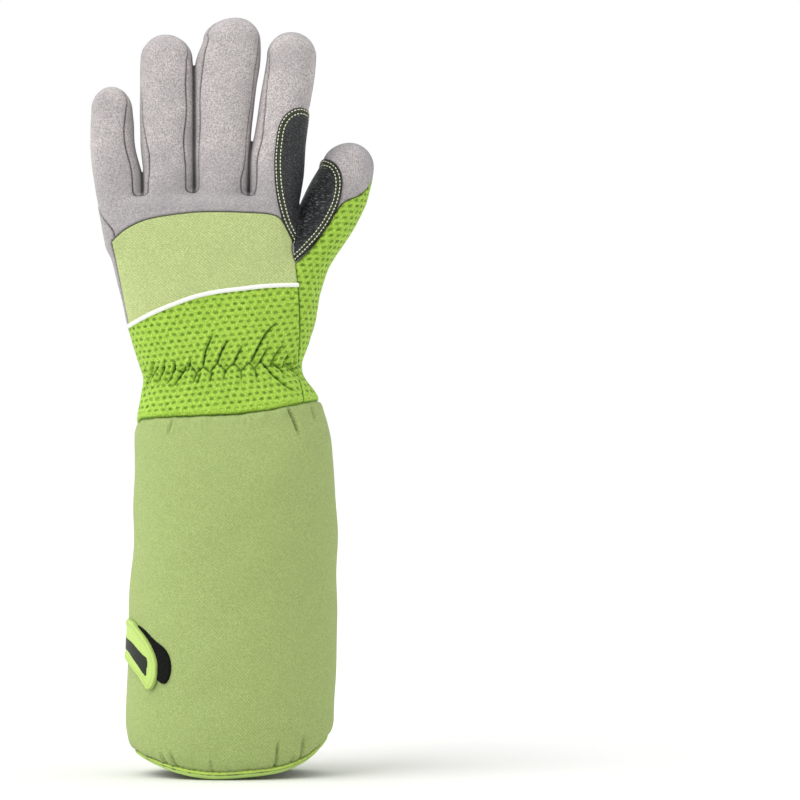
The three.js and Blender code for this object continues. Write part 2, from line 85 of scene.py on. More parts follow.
# Sections of the fingers: height and edges; depth is their thickness from back to palm
FINGERS = {
    "index": {
        "depth": 25, "tip": (36.6, 176.3),
        "rows": [(74, 13.6, 37.4), (88, 13.7, 39), (100, 13.9, 40.6), (109, 14.2, 41.3), (114, 15, 41.8),
                 (122, 16.8, 42.9), (134, 19, 44.8), (146, 20.3, 46.9), (155, 21.8, 48.3),
                 (164, 23.2, 48.9)],
    },
    "middle": {
        "depth": 26, "tip": (8.4, 184.4),
        "rows": [(74, -14, 14), (95, -14.2, 14.4), (108, -14.3, 14.7), (118, -14.4, 14.8),
                 (130, -14.5, 15.6), (138, -14.5, 16.3), (146, -14.6, 17.6), (155, -14.9, 19.3),
                 (160, -14.6, 19.8), (166, -12.9, 19.9), (172, -9.8, 19.8)],
    },
    "ring": {
        "depth": 25, "tip": (-29, 175.2),
        "rows": [(74, -40.8, -13.8), (95, -41.1, -13.9), (104, -40.9, -14), (109, -41.6, -14),
                 (117, -42.5, -14), (130, -42.8, -14), (147, -43.2, -14.1), (156, -43, -14.6),
                 (162, -42.3, -15.6)],
    },
    "little": {
        "depth": 22, "tip": (-57.4, 147.6),
        "rows": [(66, -59.8, -40.6), (74, -61.8, -40.6), (84, -64.2, -40.6), (92, -65.8, -40.6),
                 (99, -66.9, -40.8), (104, -67.7, -42), (109, -68.2, -43.6), (114, -68.4, -45),
                 (120, -68.6, -45.7), (127, -68.6, -45.8), (135, -67.9, -46.9)],
    },
}
FINGER_ROUNDNESS = 2.4
FINGER_ROOT = 66
FINGER_CREASE = 1.3
CURL = 11
CURL_START = 70
CURL_LENGTH = 115
# Sections of the thumb, which stands forward of the palm
THUMB = [
    (-4, 12, 36.8, -8, 18), (4, 14, 38.8, -9, 20), (12, 16, 43, -10, 21.5), (28, 20, 48, -11, 24),
    (42, 24, 51.8, -11, 25.5), (53, 28, 55, -10, 26.5), (63, 32, 61, -8.5, 27), (75, 36.2, 69.4, -6, 27.5),
    (88, 43, 75.8, -3.5, 28), (99, 48.4, 78.2, -1.5, 28), (106, 52.2, 78.6, 0, 27.5),
]
THUMB_TIP = (65.8, 13, 119.2)
THUMB_ROOT = 4
# Sections of the cuff: puffed under the sleeve seam, drawn in at the hem
CUFF = [
    (-230, -41, 47, -34, 33), (-206, -44.2, 52.6, -37.8, 36.8), (-197, -47.4, 55.8, -40.4, 39.4),
    (-184, -49.9, 58.2, -43, 42), (-162, -49.3, 59.6, -44.5, 43.5), (-122, -47.6, 60, -45, 44),
    (-82, -45.9, 59.6, -44, 43), (-52, -45.7, 58.4, -41, 40.5), (-36, -45.2, 57.2, -36.5, 36),
    (-24, -44.2, 53.6, -30.5, 29.5), (-8, -42, 49, -27, 26),
]
CUFF_ROUNDNESS = 2.15
# The cuff's lower edge: its height at the sides, how it tilts, and how far it hangs in the middle
HEM_SIDE, HEM_TILT, HEM_DIP, HEM_CENTRE, HEM_REACH = -195.3, 0.07, 14, 5.5, 48.6
# How far the hem is drawn in, the height of its tape, how much lower that looks at each side, how far
# the cuff's cloth stops above the tape's lower edge, and the number of its stitches
HEM_IN, HEM_TAPE, HEM_TAPER, HEM_LAP, HEM_STITCHES = 3, 3.8, (0.55, 0.3), 1.2, 92
# Height of the seam between hand and cuff, for x on the back and on the palm side
SEAM_BACK = [(-46, -25), (-20, -23.7), (8, -22.7), (24, -20.8), (38, -17.6), (54, -14.4)]
SEAM_PALM = [(-46, -34.4), (-36, -32.6), (12, -23.8), (46, -17.2), (54, -16.2)]
# The slit in the cuff's side: where it lies round the cuff, its ends, and its width
SLIT_S, SLIT_TOP, SLIT_BOTTOM, SLIT_WIDTH = -9.5, -120, -172, 1.6

# Walls and layers, and how far the hand's cloth is tucked into the cuff
LEATHER, PADDING, PATCH, PAD = 1.4, 3.4, 1.3, 1.364
TUCK = 3.2
# A length beyond everything
FAR = 200

# Seams and outlines seen from the back, as x and z
KNUCKLE_TOP = [
    (-57, 66.5), (-49, 73), (-39, 77.5), (-26, 80), (-12, 81.5), (9.5, 81.5), (29, 79.5), (34.5, 74),
    (37.8, 67), (38.8, 57), (40.2, 43.8),
]
PIPING_LINE = [
    (40.2, 43.8), (31, 43.6), (22, 43), (13.5, 42), (-2, 40), (-12.4, 37.7), (-21, 34.8), (-29.4, 31.5),
    (-37, 28.2), (-48, 22.6),
]
WRIST_SIDE_SEAM = [(40.2, 43.8), (41, 30), (41, 15), (40, 0), (42.5, -11), (46, -30)]
THUMB_MESH_TOP = [(38.8, 55), (48, 65), (57, 79), (63.5, 87), (72, 91), (80, 99)]
INDEX_PATCH_BACK = [
    (62, 108), (45, 134.5), (40, 136), (34, 133), (30, 127), (28, 116), (27.5, 104.5), (28.5, 91),
    (32, 76.5), (36.6, 67), (41, 59), (52, 60), (62, 80),
]
THUMB_PATCH_BACK = [
    (30, 83), (38, 112), (50, 111), (58.5, 108), (62.5, 101), (61.8, 89), (56.5, 76.5), (49, 66),
    (40.5, 57.5), (36, 54), (30, 64),
]
# Where the two patches meet, in the crotch between index finger and thumb
CROTCH_LINE = [(50, 38.2), (58, 38), (66, 37.7), (83, 38.6), (90, 40.8), (99, 44), (107, 47.5), (125, 55)]
# Seams and outlines on the palm side
THUMB_MESH_PALM = [
    (79.5, 105), (75.6, 95), (71.6, 83.5), (66, 72), (59.4, 61.5), (51.8, 46), (45, 30), (37, 13.5),
    (27.4, -0.5), (20, -30),
]
THUMB_FOLD = [
    (60, 125), (48.5, 108), (45, 91), (40.5, 79.5), (33.5, 65), (31, 51.5), (31, 23.5), (27.5, 11.5),
    (24.5, -1.5),
]
PALM_PAD = [
    (32, 76), (29.5, 81.5), (23.5, 85.5), (16, 86), (12.5, 91), (5, 97), (-2, 91), (-8, 80), (-14, 88.5),
    (-19, 92.5), (-25, 88), (-28.5, 78), (-33, 76), (-39, 81), (-46.5, 86.5), (-53.5, 81), (-54, 67),
    (-48, 58), (-31, 57.5), (-16, 58.5), (-30, 53.5), (-41, 48), (-46.5, 37), (-45, 21.5), (-38, 6),
    (-29, -4.5), (-19, -7), (-11, 0.5), (-7.5, 13.5), (-4, 29), (2.5, 44), (9, 53.5), (17, 61.5),
    (29.5, 68.5),
]
THENAR_PAD = [
    (33, 64), (27, 66), (21, 62.5), (13.5, 55.5), (6.5, 48), (2, 40), (-0.5, 30), (-2, 19), (0.5, 10),
    (6.5, 6), (14, 7), (22, 13.5), (27, 22), (29.5, 34), (29.5, 48),
]
INDEX_PATCH_PALM = [(62, 124), (49.5, 124), (43.5, 119.5), (38.5, 113.5), (36.5, 102), (36.5, 66), (60, 66)]
THUMB_PATCH_PALM = [(40, 66), (44, 81.5), (48.5, 90.5), (50, 99), (49, 107), (40, 100), (34, 80), (34, 66)]
CAP_LINES = {
    "index": ((60, 132), (25, 134.5)), "middle": ((24, 147.5), (-15, 147.5)),
    "ring": ((-14, 138), (-46, 136.5)), "little": ((-44, 114.5), (-72, 110.5)),
}
# Side strips between fingers: for each of the two fingers, height and half width to the back
STRIPS = {
    "fourchette_index_middle": {
        "between": ("middle", "index"), "bottom": 84,
        "edges": ([(86, 2), (87.5, 6), (90, 8.6), (94, 9.6), (99, 9.8), (106, 8), (122, 5.6), (142, 5.4),
                   (158, 6.8), (172, 6), (180, 3), (184, 0)],
                  [(86, 2), (87.5, 6), (90, 8.6), (94, 9.6), (100, 10), (119, 10.4), (137, 9.8), (157, 8),
                   (167, 5.5), (173, 2), (176.3, 0)]),
    },
    "fourchette_middle_ring": {
        "between": ("ring", "middle"), "bottom": 84,
        "edges": ([(86, 2), (87.5, 6), (90, 8.6), (94, 9.6), (101, 10), (126, 10.2), (149, 10), (161, 8.8),
                   (169, 5.5), (175, 0)],
                  [(86, 2), (87.5, 5), (90, 7), (94, 7.8), (101, 8), (126, 9.1), (149, 9.7), (160, 9.9),
                   (173, 9.2), (180, 6.5), (184.4, 0)]),
    },
    "fourchette_ring_little": {
        "between": ("little", "ring"), "bottom": 82,
        "edges": ([(83.5, 2), (85, 6), (87.5, 8.4), (92, 9.2), (98, 9.4), (126, 9.4), (137, 8), (143, 5),
                   (147.6, 0)],
                  [(83.5, 2), (85, 6), (87.5, 8.4), (92, 9.2), (98, 9.4), (112, 10), (120, 9), (129, 6.5),
                   (160, 5.5), (171, 3), (175, 0)]),
    },
}
# The caps start this far to the palm side of each finger's middle, and lie partly sunk in the suede
CAP_BACK = 2.6
CAP_SUNK = 1.0
# How far past its own finger's line of stitches a cap may reach to each side
CAP_BESIDE = 3

# Creases where elastic gathers the wrist: each a short run of points, then its depth
GATHERS = [
    ([(-8.5, 1.5), (-7.1, 10.2), (-2.6, 20.3)], 2.6), ([(-1.2, 3.2), (0.6, 8.8), (4.6, 16.5)], 2.6),
    ([(7.2, 3.2), (10, 9.5), (12.5, 13.5)], 2.1),
    ([(15.6, 3.2), (19.4, 10.9), (23.6, 18.6), (31.6, 27)], 2.6), ([(20.8, 4), (23.2, 8.8), (26, 13)], 2),
    ([(26.3, 3), (29.5, 8.8), (34, 15)], 2), ([(32.6, 3.4), (36.8, 9.5)], 1.6),
    ([(37.4, 1), (39, 9)], 1.4), ([(-23.2, -1), (-23.4, 6)], 2), ([(-16.1, -0.4), (-14.8, 6.5)], 2),
    ([(-29.5, -1), (-28.5, 5.5)], 1.4), ([(-36, -1.5), (-34, 5)], 1.2), ([(-3.6, -1), (-5.4, -7)], 1.8),
    ([(-12, -2), (-13.8, -7.5)], 1.6), ([(-23.4, 2), (-24.4, -2), (-28.4, -9)], 2),
    ([(-28.6, 1.5), (-30.6, -3.4), (-34.4, -9.4)], 2.2), ([(-32, 2), (-35.2, -3.4), (-38.6, -10)], 2.2),
    ([(-35.6, -1), (-38.4, -7), (-41.2, -13.4)], 2), ([(-17.2, 2.5), (-20.2, -3.2), (-25.8, -10.6)], 2),
    ([(-9.5, -1.5), (-12, -8)], 1.4), ([(-38.4, 2), (-40.6, -3)], 1.6), ([(2.8, -0.6), (1.6, -6)], 1.3),
    ([(11, -0.6), (11.4, -6)], 1.3), ([(18.4, 0.6), (19.5, -5.5)], 1.6),
    ([(22.6, 2.8), (28, -3), (35.4, -9), (42, -12)], 1.9), ([(28.6, 2.6), (34.7, -3.2)], 1.7),
    ([(33.6, 3), (42.5, -4.8)], 1.7),
]
# The elastic's own zigzag across the wrist
ELASTIC_LINE = [
    (-44, 1), (-40, -2.6), (-36.5, -0.6), (-33, -2.6), (-29.5, -0.2), (-26.4, -2.4), (-23, 0.6),
    (-19.4, -1.6), (-15.4, 2.8), (-12, -1.8), (-8.4, 1.4), (-5, -1.2), (-1.2, 3.4), (3, -0.4), (7.2, 3.4),
    (11, -0.4), (15.2, 3.6), (17.8, 0.6), (20.9, 4.2), (24.2, 1), (27.5, 3.4), (31, 0.8), (34.5, 3.4),
    (38, 0.6), (42, 3),
]
ELASTIC_DEPTH = 1.5
GATHER_WIDTH = 0.6
# Boxes of the hand's surface: round the gathers, round all of the back of the wrist, at the thumb's root on
# the palm side, and at the knuckle panel's pale edge
GATHER_BOX = (-FAR, -FAR, -16), (FAR, 4, 32)
WRIST_BOX = (-FAR, -FAR, -FAR), (FAR, 4, 45)
THUMB_ROOT_BOX = (18, 6, -FAR), (48, FAR, 90)
PALE_EDGE_BOX = (33, -FAR, 40), (FAR, 0, 82)
# How wide the cloth turns in at a seam, how wide and deep under the cuff, and how dark and wide its painted
# shade is
SEAM_TURN, SLEEVE_TURN = 1.4, (2.6, 1.7)
SEAM_SHADE, SEAM_SHADE_WIDTH = 0.9, 0.42
# A crease's lip: its height as a share of the depth, and its place and width in widths of the crease
LIP_HEIGHT, LIP_PLACE, LIP_WIDTH = 0.35, 2.1, 1.5
# The depth from which a crease is fully dark, and how much narrower its shade is
DARK_DEPTH, CREASE_SHADE = 1.6, 0.62
# The side strips' shade in the open, and what is added where two fingers nearly touch
STRIP_SHADE, STRIP_DEEP, SHADE_REACH = 0.06, 0.3, 2.5
# Gap between two fingers at which the painted dark line of shade where they meet begins
MEETING = 2.4
# The deep fold at the thumb's root on the palm side
PALM_CREASES = [([(27.6, 4), (31.2, 22), (31.2, 50), (34, 65), (39.5, 77)], 2.2)]
PALM_CREASE_WIDTH = 1.5
# Sizes of the faces at gathers, and in the middle of patches and pads
GATHER_STEP, PLAIN_STEP = 0.4, 1.5
# The palm's side of the leather is painted darker and cooler than the back's, as shade
PALM_SHADE = (0.63, 0.66, 0.73)
# The darker colour painted as shade on the hand's leather below the fingers, over which heights, and how far
HAND_SHADE, HAND_SHADE_HEIGHTS, HAND_SHADED = "#a19da4", (118.0, 84.0), 0.6
# How the black leather looks between its two rows of green stitches, and how far
STITCH_BAND, STITCH_BAND_SHARE = "#2c3d16", 0.55
# Creases in the cuff, under the sleeve seam and above the hem: points, the side they lie on, then the depth
CUFF_CREASES = [
    ([(-24.3, -25.6), (-24.8, -28.5), (-27.2, -35)], -1, 1.3),
    ([(35.2, -20), (38.4, -26), (42, -35)], -1, 2.1), ([(14, -24.6), (13, -30)], -1, 0.6),
    ([(-8, -25.6), (-9, -32)], -1, 0.5), ([(47, -18.5), (49, -27)], -1, 1),
    ([(-26.8, -206), (-28.5, -200.3), (-30, -195.6)], -1, 1.1),
    ([(-21.3, -208), (-22.7, -202.1), (-25.4, -193)], -1, 1.3), ([(-13.6, -209), (-14, -203.4)], -1, 0.7),
    ([(-3, -210), (-3.5, -204.6), (-4, -197.5)], -1, 1), ([(15, -209.5), (15.4, -203)], -1, 0.6),
    ([(29.2, -206.5), (29.6, -201.5), (30.7, -187.5)], -1, 1.5), ([(38, -203.6), (38.5, -196.6)], -1, 0.9),
    ([(42.4, -201), (42.7, -197.2), (43.8, -185.6)], -1, 1.4), ([(-40, -33.4), (-42, -42)], 1, 1.3),
    ([(10, -24.4), (9, -31)], 1, 0.6), ([(-20, -29.8), (-22, -37)], 1, 0.7),
    ([(-30, -205), (-27, -196)], 1, 1.2), ([(33, -204.5), (36, -193)], 1, 1.3),
    ([(2, -208.8), (2, -201)], 1, 0.8),
]

# Strap on the cuff's little-finger side: s runs round the cuff towards the back, then the height
STRAP_OUTLINE = [
    (-9, -130.5), (4, -129.4), (13, -128.6), (19.4, -129.8), (24.2, -132.6), (28.6, -135.5),
    (32.4, -138.9), (35.1, -142.4), (37, -145.9), (38.3, -149.9), (38.5, -153.5), (38.2, -157.5),
    (36.8, -161.2), (35.2, -163.4), (33, -164), (31.4, -162.5), (28.9, -159.8), (25.6, -156.9),
    (20.7, -154), (16.9, -152), (8, -149.4), (-9, -148.5),
]
STRAP_CENTRE = [
    (-7, -137.6), (9, -138), (17.8, -139.4), (21.9, -141), (26.6, -143.8), (30.6, -146.2), (32.4, -147.2),
    (33, -148.2), (33.2, -151), (32.8, -154.7), (32.5, -156.8), (31.8, -157.2), (30.6, -156.4),
    (26.3, -152.5), (20.3, -148.3), (15.5, -145.7), (9, -144.6), (-7, -144.2),
]
LOOP_OUTLINE = [
    (8, -132), (17, -130.8), (24.4, -131.8), (30.4, -134.7), (34.6, -137.8), (38.4, -140.2),
    (41.3, -142.2), (43.5, -145.1), (44.9, -149.2), (45.2, -153.2), (44.5, -156.8), (43.3, -159.4),
    (41.7, -160.6), (40, -160.3), (37.5, -158.6), (30, -153), (18, -146), (6, -138),
]

# How far the strap sinks where it comes out of the slit, over which stretch, and how bright its tape is
STRAP_SINK, STRAP_RISE, STRAP_BAND = 0.9, (13, 1), 0.35

# Camera, from the photograph's frame: its picture is this wide, and this point is in its middle
PICTURE_WIDTH = 416
PICTURE_CENTRE = (92.6, -15.6)
CAMERA_DISTANCE = 2000
# White walls glow at the sides, dimmer ahead and behind, so rounded edges look lighter than middles.
# A wide soft key comes from the upper left.
SIDE_GLOW, DIM_GLOW = 1.1, 0.25
KEY_STRENGTH, KEY_SPREAD, KEY_FROM = 1.6, 50, (-1.0, -0.7, 1.2)
SENSOR = 36
# Half the floor's width in metres, and how far it lies under the glove
FLOOR_HALF, FLOOR_GAP = 6.0, 0.4


def linear(code):
    """An sRGB hex colour as linear red, green and blue."""
    values = [int(code[i:i + 2], 16) / 255 for i in (1, 3, 5)]
    return [v / 12.92 if v <= 0.04045 else ((v + 0.055) / 1.055) ** 2.4 for v in values]


# Curves and outlines

def smooth_line(points, closed=False, spacing=0.8):
    """A centripetal curve through a few points, as many close ones."""
    points = np.array(points, float)
    if closed:
        ring = np.vstack([points[-1], points, points[:2]])
    else:
        ring = np.vstack([2 * points[0] - points[1], points, 2 * points[-1] - points[-2]])
    runs = []
    for four in zip(ring, ring[1:], ring[2:], ring[3:]):
        gaps = [np.linalg.norm(q - p) ** 0.5 for p, q in zip(four, four[1:])]
        knots = np.cumsum([0, *gaps])
        steps = max(2, int(gaps[1] ** 2 / spacing))
        t = (knots[1] + (knots[2] - knots[1]) * np.arange(steps) / steps)[:, None]
        level = list(four)
        for width in (1, 2):
            level = [
                (p * (knots[i + width] - t) + q * (t - knots[i])) / (knots[i + width] - knots[i])
                for i, (p, q) in enumerate(zip(level, level[1:]))
            ]
        runs.append((level[0] * (knots[2] - t) + level[1] * (t - knots[1])) / (knots[2] - knots[1]))
    if not closed:
        runs.append(points[-1:])
    return np.vstack(runs)


def segment_distance(points, starts, ends):
    """Distance to the nearest of some segments, that segment's number, and the place along it."""
    best = np.full(len(points), np.inf)
    which = np.zeros(len(points), int)
    place = np.zeros(len(points))
    for i, (a, b) in enumerate(zip(starts, ends)):
        run = b - a
        along = np.clip((points - a) @ run / max(run @ run, 1e-12), 0, 1)
        gap = points - a - along[:, None] * run
        distance = np.einsum("ij,ij->i", gap, gap)
        nearer = distance < best
        best[nearer] = distance[nearer]
        which[nearer] = i
        place[nearer] = along[nearer]
    return np.sqrt(best), which, place


def inside_distance(points, outline):
    """Distance to a closed outline, positive inside it."""
    ends = np.roll(outline, -1, axis=0)
    distance, _, _ = segment_distance(points, outline, ends)
    inside = np.zeros(len(points), bool)
    for (x0, y0), (x1, y1) in zip(outline, ends):
        if y0 == y1:
            continue
        crosses = (points[:, 1] < y0) != (points[:, 1] < y1)
        inside ^= crosses & (points[:, 0] < x0 + (points[:, 1] - y0) * (x1 - x0) / (y1 - y0))
    return np.where(inside, distance, -distance)


def ease(low, high, value):
    t = np.clip((value - low) / (high - low), 0, 1)
    return t * t * (3 - 2 * t)


def flat(points):
    return points[:, [0, 2]]


def bell(distance, width):
    """1 on a line, fading to 0 beside it."""
    return np.exp(-(distance / width) ** 2)


def unit(vectors):
    """Vectors made one long."""
    return vectors / np.maximum(np.linalg.norm(vectors, axis=-1, keepdims=True), 1e-9)


def lengths_along(points):
    """Length along a line of points, or along each row of a grid of them."""
    steps = np.linalg.norm(np.diff(points, axis=-2), axis=-1)
    return np.concatenate([np.zeros_like(steps[..., :1]), np.cumsum(steps, axis=-1)], axis=-1)


def within(points, low, high):
    """Which points lie in a box."""
    return np.all((points > low) & (points < high), axis=1)


def triangles_of(quads):
    return np.vstack([quads[:, [0, 1, 2]], quads[:, [0, 2, 3]]])


# The glove's form, as a rough distance outside it

class Sections:
    """A table of sections, softened and read at any height."""

    def __init__(self, rows, soften=2.2):
        rows = np.array(rows, float)
        step, reach = 0.5, 24
        self.z = np.arange(rows[0, 0] - 10, rows[-1, 0] + 10, step)
        kernel = np.exp(-0.5 * (np.arange(-reach, reach + 1) * step / soften) ** 2)
        kernel /= kernel.sum()
        self.columns = [
            np.convolve(np.pad(np.interp(self.z, rows[:, 0], column), reach, mode="edge"), kernel, "valid")
            for column in rows[:, 1:].T
        ]

    def at(self, z):
        return [np.interp(z, self.z, column) for column in self.columns]


def curl_at(z):
    return CURL * (np.maximum(0, z - CURL_START) / CURL_LENGTH) ** 2


def tube(p, sections, roundness, bottom, top, rise, tip=None, drop=8):
    """Rough distance outside a tube with a rounded end above and below."""
    z = p[:, 2]
    left, right, back, palm = sections.at(np.clip(z, bottom, top))
    over = np.maximum(z - top, 0)
    size = np.sqrt(np.clip(1 - (over / rise) ** 2, 0, 1))
    middle_x, middle_y = (left + right) / 2, (back + palm) / 2
    if tip is not None:
        middle_x = middle_x * size + tip[0] * (1 - size)
        middle_y = middle_y * size + tip[1] * (1 - size)
    dx, dy = p[:, 0] - middle_x, p[:, 1] - middle_y
    ring = (np.abs(2 * dx / (right - left)) ** roundness + np.abs(2 * dy / (palm - back)) ** roundness)
    under = np.maximum(bottom - z, 0)
    share = np.sqrt(ring ** (2 / roundness) + (over / rise) ** 2 + (under / drop) ** 2) + 1e-6
    reach = np.sqrt(dx ** 2 + dy ** 2 + over ** 2 + under ** 2)
    return reach - reach / share


def smooth_min(a, b, width):
    overlap = np.maximum(width - np.abs(a - b), 0) / width
    return np.minimum(a, b) - overlap ** 2 * width / 4


def finger_sections(finger):
    rows = []
    for z, left, right in finger["rows"]:
        middle = curl_at(z)
        rows.append((z, left, right, middle - finger["depth"] / 2, middle + finger["depth"] / 2))
    return Sections(rows)


HAND_SECTIONS = Sections(HAND)
FINGER_SECTIONS = {name: finger_sections(finger) for name, finger in FINGERS.items()}
THUMB_SECTIONS = Sections(THUMB)
CUFF_SECTIONS = Sections(CUFF, soften=3.5)
# How many waves make a surface uneven, and their lengths in leather over stuffing, in knitted cloth and
# tape, in the cuff's padding and in its pleats
WAVES = 9
HAND_WAVES, CLOTH_WAVES, PADDING_WAVES, PLEAT_WAVES = (16, 44), (6, 14), (26, 70), (5, 12)


def ripples(p, seed=7, height=0.09, lengths=HAND_WAVES):
    """Soft uneven waves, as in leather over stuffing."""
    draw = np.random.default_rng(seed)
    total = np.zeros(len(p))
    for _ in range(WAVES):
        direction = draw.normal(size=3)
        direction *= 2 * math.pi / (np.linalg.norm(direction) * draw.uniform(*lengths))
        total += np.sin(p @ direction + draw.uniform(0, 2 * math.pi))
    return total * height


def finger_field(p, name):
    finger = FINGERS[name]
    top = finger["rows"][-1][0]
    tip = (finger["tip"][0], curl_at(finger["tip"][1]))
    return tube(p, FINGER_SECTIONS[name], FINGER_ROUNDNESS, FINGER_ROOT, top, finger["tip"][1] - top, tip)


# How softly fingers, palm and thumb run into each other, and how much sharper that gets in the fold at the
# thumb's root and in its crotch
PALM_BLEND, THUMB_BLEND, THUMB_SHARPER, THUMB_DROP = 3.2, 9, 7.6, 14


def hand_field(p):
    """Rough distance outside the hand."""
    body = tube(p, HAND_SECTIONS, HAND_ROUNDNESS, HAND[0][0], HAND_TOP, HAND_DOME)
    fingers = None
    for name in FINGERS:
        one = finger_field(p, name)
        fingers = one if fingers is None else smooth_min(fingers, one, FINGER_CREASE)
    hand = smooth_min(body, fingers, PALM_BLEND)
    top = THUMB[-1][0]
    thumb = tube(p, THUMB_SECTIONS, FINGER_ROUNDNESS, THUMB_ROOT, top, THUMB_TIP[2] - top, THUMB_TIP,
                 THUMB_DROP)
    fold = ease(2, 14, p[:, 1]) * ease(2, 26, p[:, 2])
    crotch = ease(56, 76, p[:, 2])
    return smooth_min(hand, thumb, THUMB_BLEND - THUMB_SHARPER * np.maximum(fold, crotch)) + ripples(p)


def meeting(p, strip, gap):
    """1 where the two fingers of a side strip nearly meet."""
    one, other = (finger_field(p, side) for side in STRIPS[strip]["between"])
    return ease(gap, 0.4 * gap, np.abs(one - other)) * ease(3.5, 1.2, np.minimum(one, other))


def slope_of(p, field, reach=0.25):
    """How a field changes along each axis."""
    slope = np.empty_like(p)
    for axis in range(3):
        shift = np.zeros(3)
        shift[axis] = reach
        slope[:, axis] = (field(p + shift) - field(p - shift)) / (2 * reach)
    return slope


def normals_of(p, field=hand_field):
    """Outward directions of a field."""
    return unit(slope_of(p, field))


def settle(p, field=hand_field, rounds=3):
    """Moves points on to the field's surface."""
    p = p.copy()
    for _ in range(rounds):
        slope = slope_of(p, field)
        square = np.maximum(np.einsum("ij,ij->i", slope, slope), 0.2)
        p -= (field(p) / square)[:, None] * slope
    return p


def surface_nets(field, low, high, step):
    """Four-sided faces round the inside of a field, one vertex in each cell that it crosses."""
    axes = [np.arange(a, b + step, step) for a, b in zip(low, high)]
    grid = np.stack(np.meshgrid(*axes, indexing="ij"), axis=-1)
    shape = grid.shape[:3]
    flat_grid = grid.reshape(-1, 3)
    values = np.concatenate([field(part) for part in np.array_split(flat_grid, 12)]).reshape(shape)
    inside = values < 0
    cell_shape = tuple(n - 1 for n in shape)
    corners = [(i, j, k) for i in (0, 1) for j in (0, 1) for k in (0, 1)]

    def part(array, corner):
        i, j, k = corner
        return array[i:i + cell_shape[0], j:j + cell_shape[1], k:k + cell_shape[2]]

    parts = [part(inside, corner) for corner in corners]
    active = np.logical_or.reduce(parts) & ~np.logical_and.reduce(parts)
    number = np.full(cell_shape, -1)
    count = int(active.sum())
    number[active] = np.arange(count)
    total = np.zeros((count, 3))
    crossings = np.zeros(count)
    for axis in range(3):
        for corner in corners:
            if corner[axis]:
                continue
            other = tuple(c + (k == axis) for k, c in enumerate(corner))
            a = part(values, corner)[active]
            b = part(values, other)[active]
            crossed = (a < 0) != (b < 0)
            place = np.tile(np.array(corner, float), (count, 1))
            place[crossed, axis] += a[crossed] / (a[crossed] - b[crossed])
            total[crossed] += place[crossed]
            crossings[crossed] += 1
    cells = np.argwhere(active)
    points = np.array(low) + (cells + total / crossings[:, None]) * step
    faces = []
    for axis in range(3):
        u, v = [(1, 2), (2, 0), (0, 1)][axis]
        start = [slice(1, -1)] * 3
        start[axis] = slice(0, -1)
        end = [slice(1, -1)] * 3
        end[axis] = slice(1, None)
        first, second = inside[tuple(start)], inside[tuple(end)]
        for flip, found in ((False, first & ~second), (True, ~first & second)):
            where = np.argwhere(found) + 1
            where[:, axis] -= 1
            around = []
            for du, dv in ((1, 1), (0, 1), (0, 0), (1, 0)):
                cell = where.copy()
                cell[:, u] -= du
                cell[:, v] -= dv
                around.append(number[cell[:, 0], cell[:, 1], cell[:, 2]])
            quad = np.stack(around, axis=1)
            faces.append(quad[:, ::-1] if flip else quad)
    return points, np.vstack(faces)


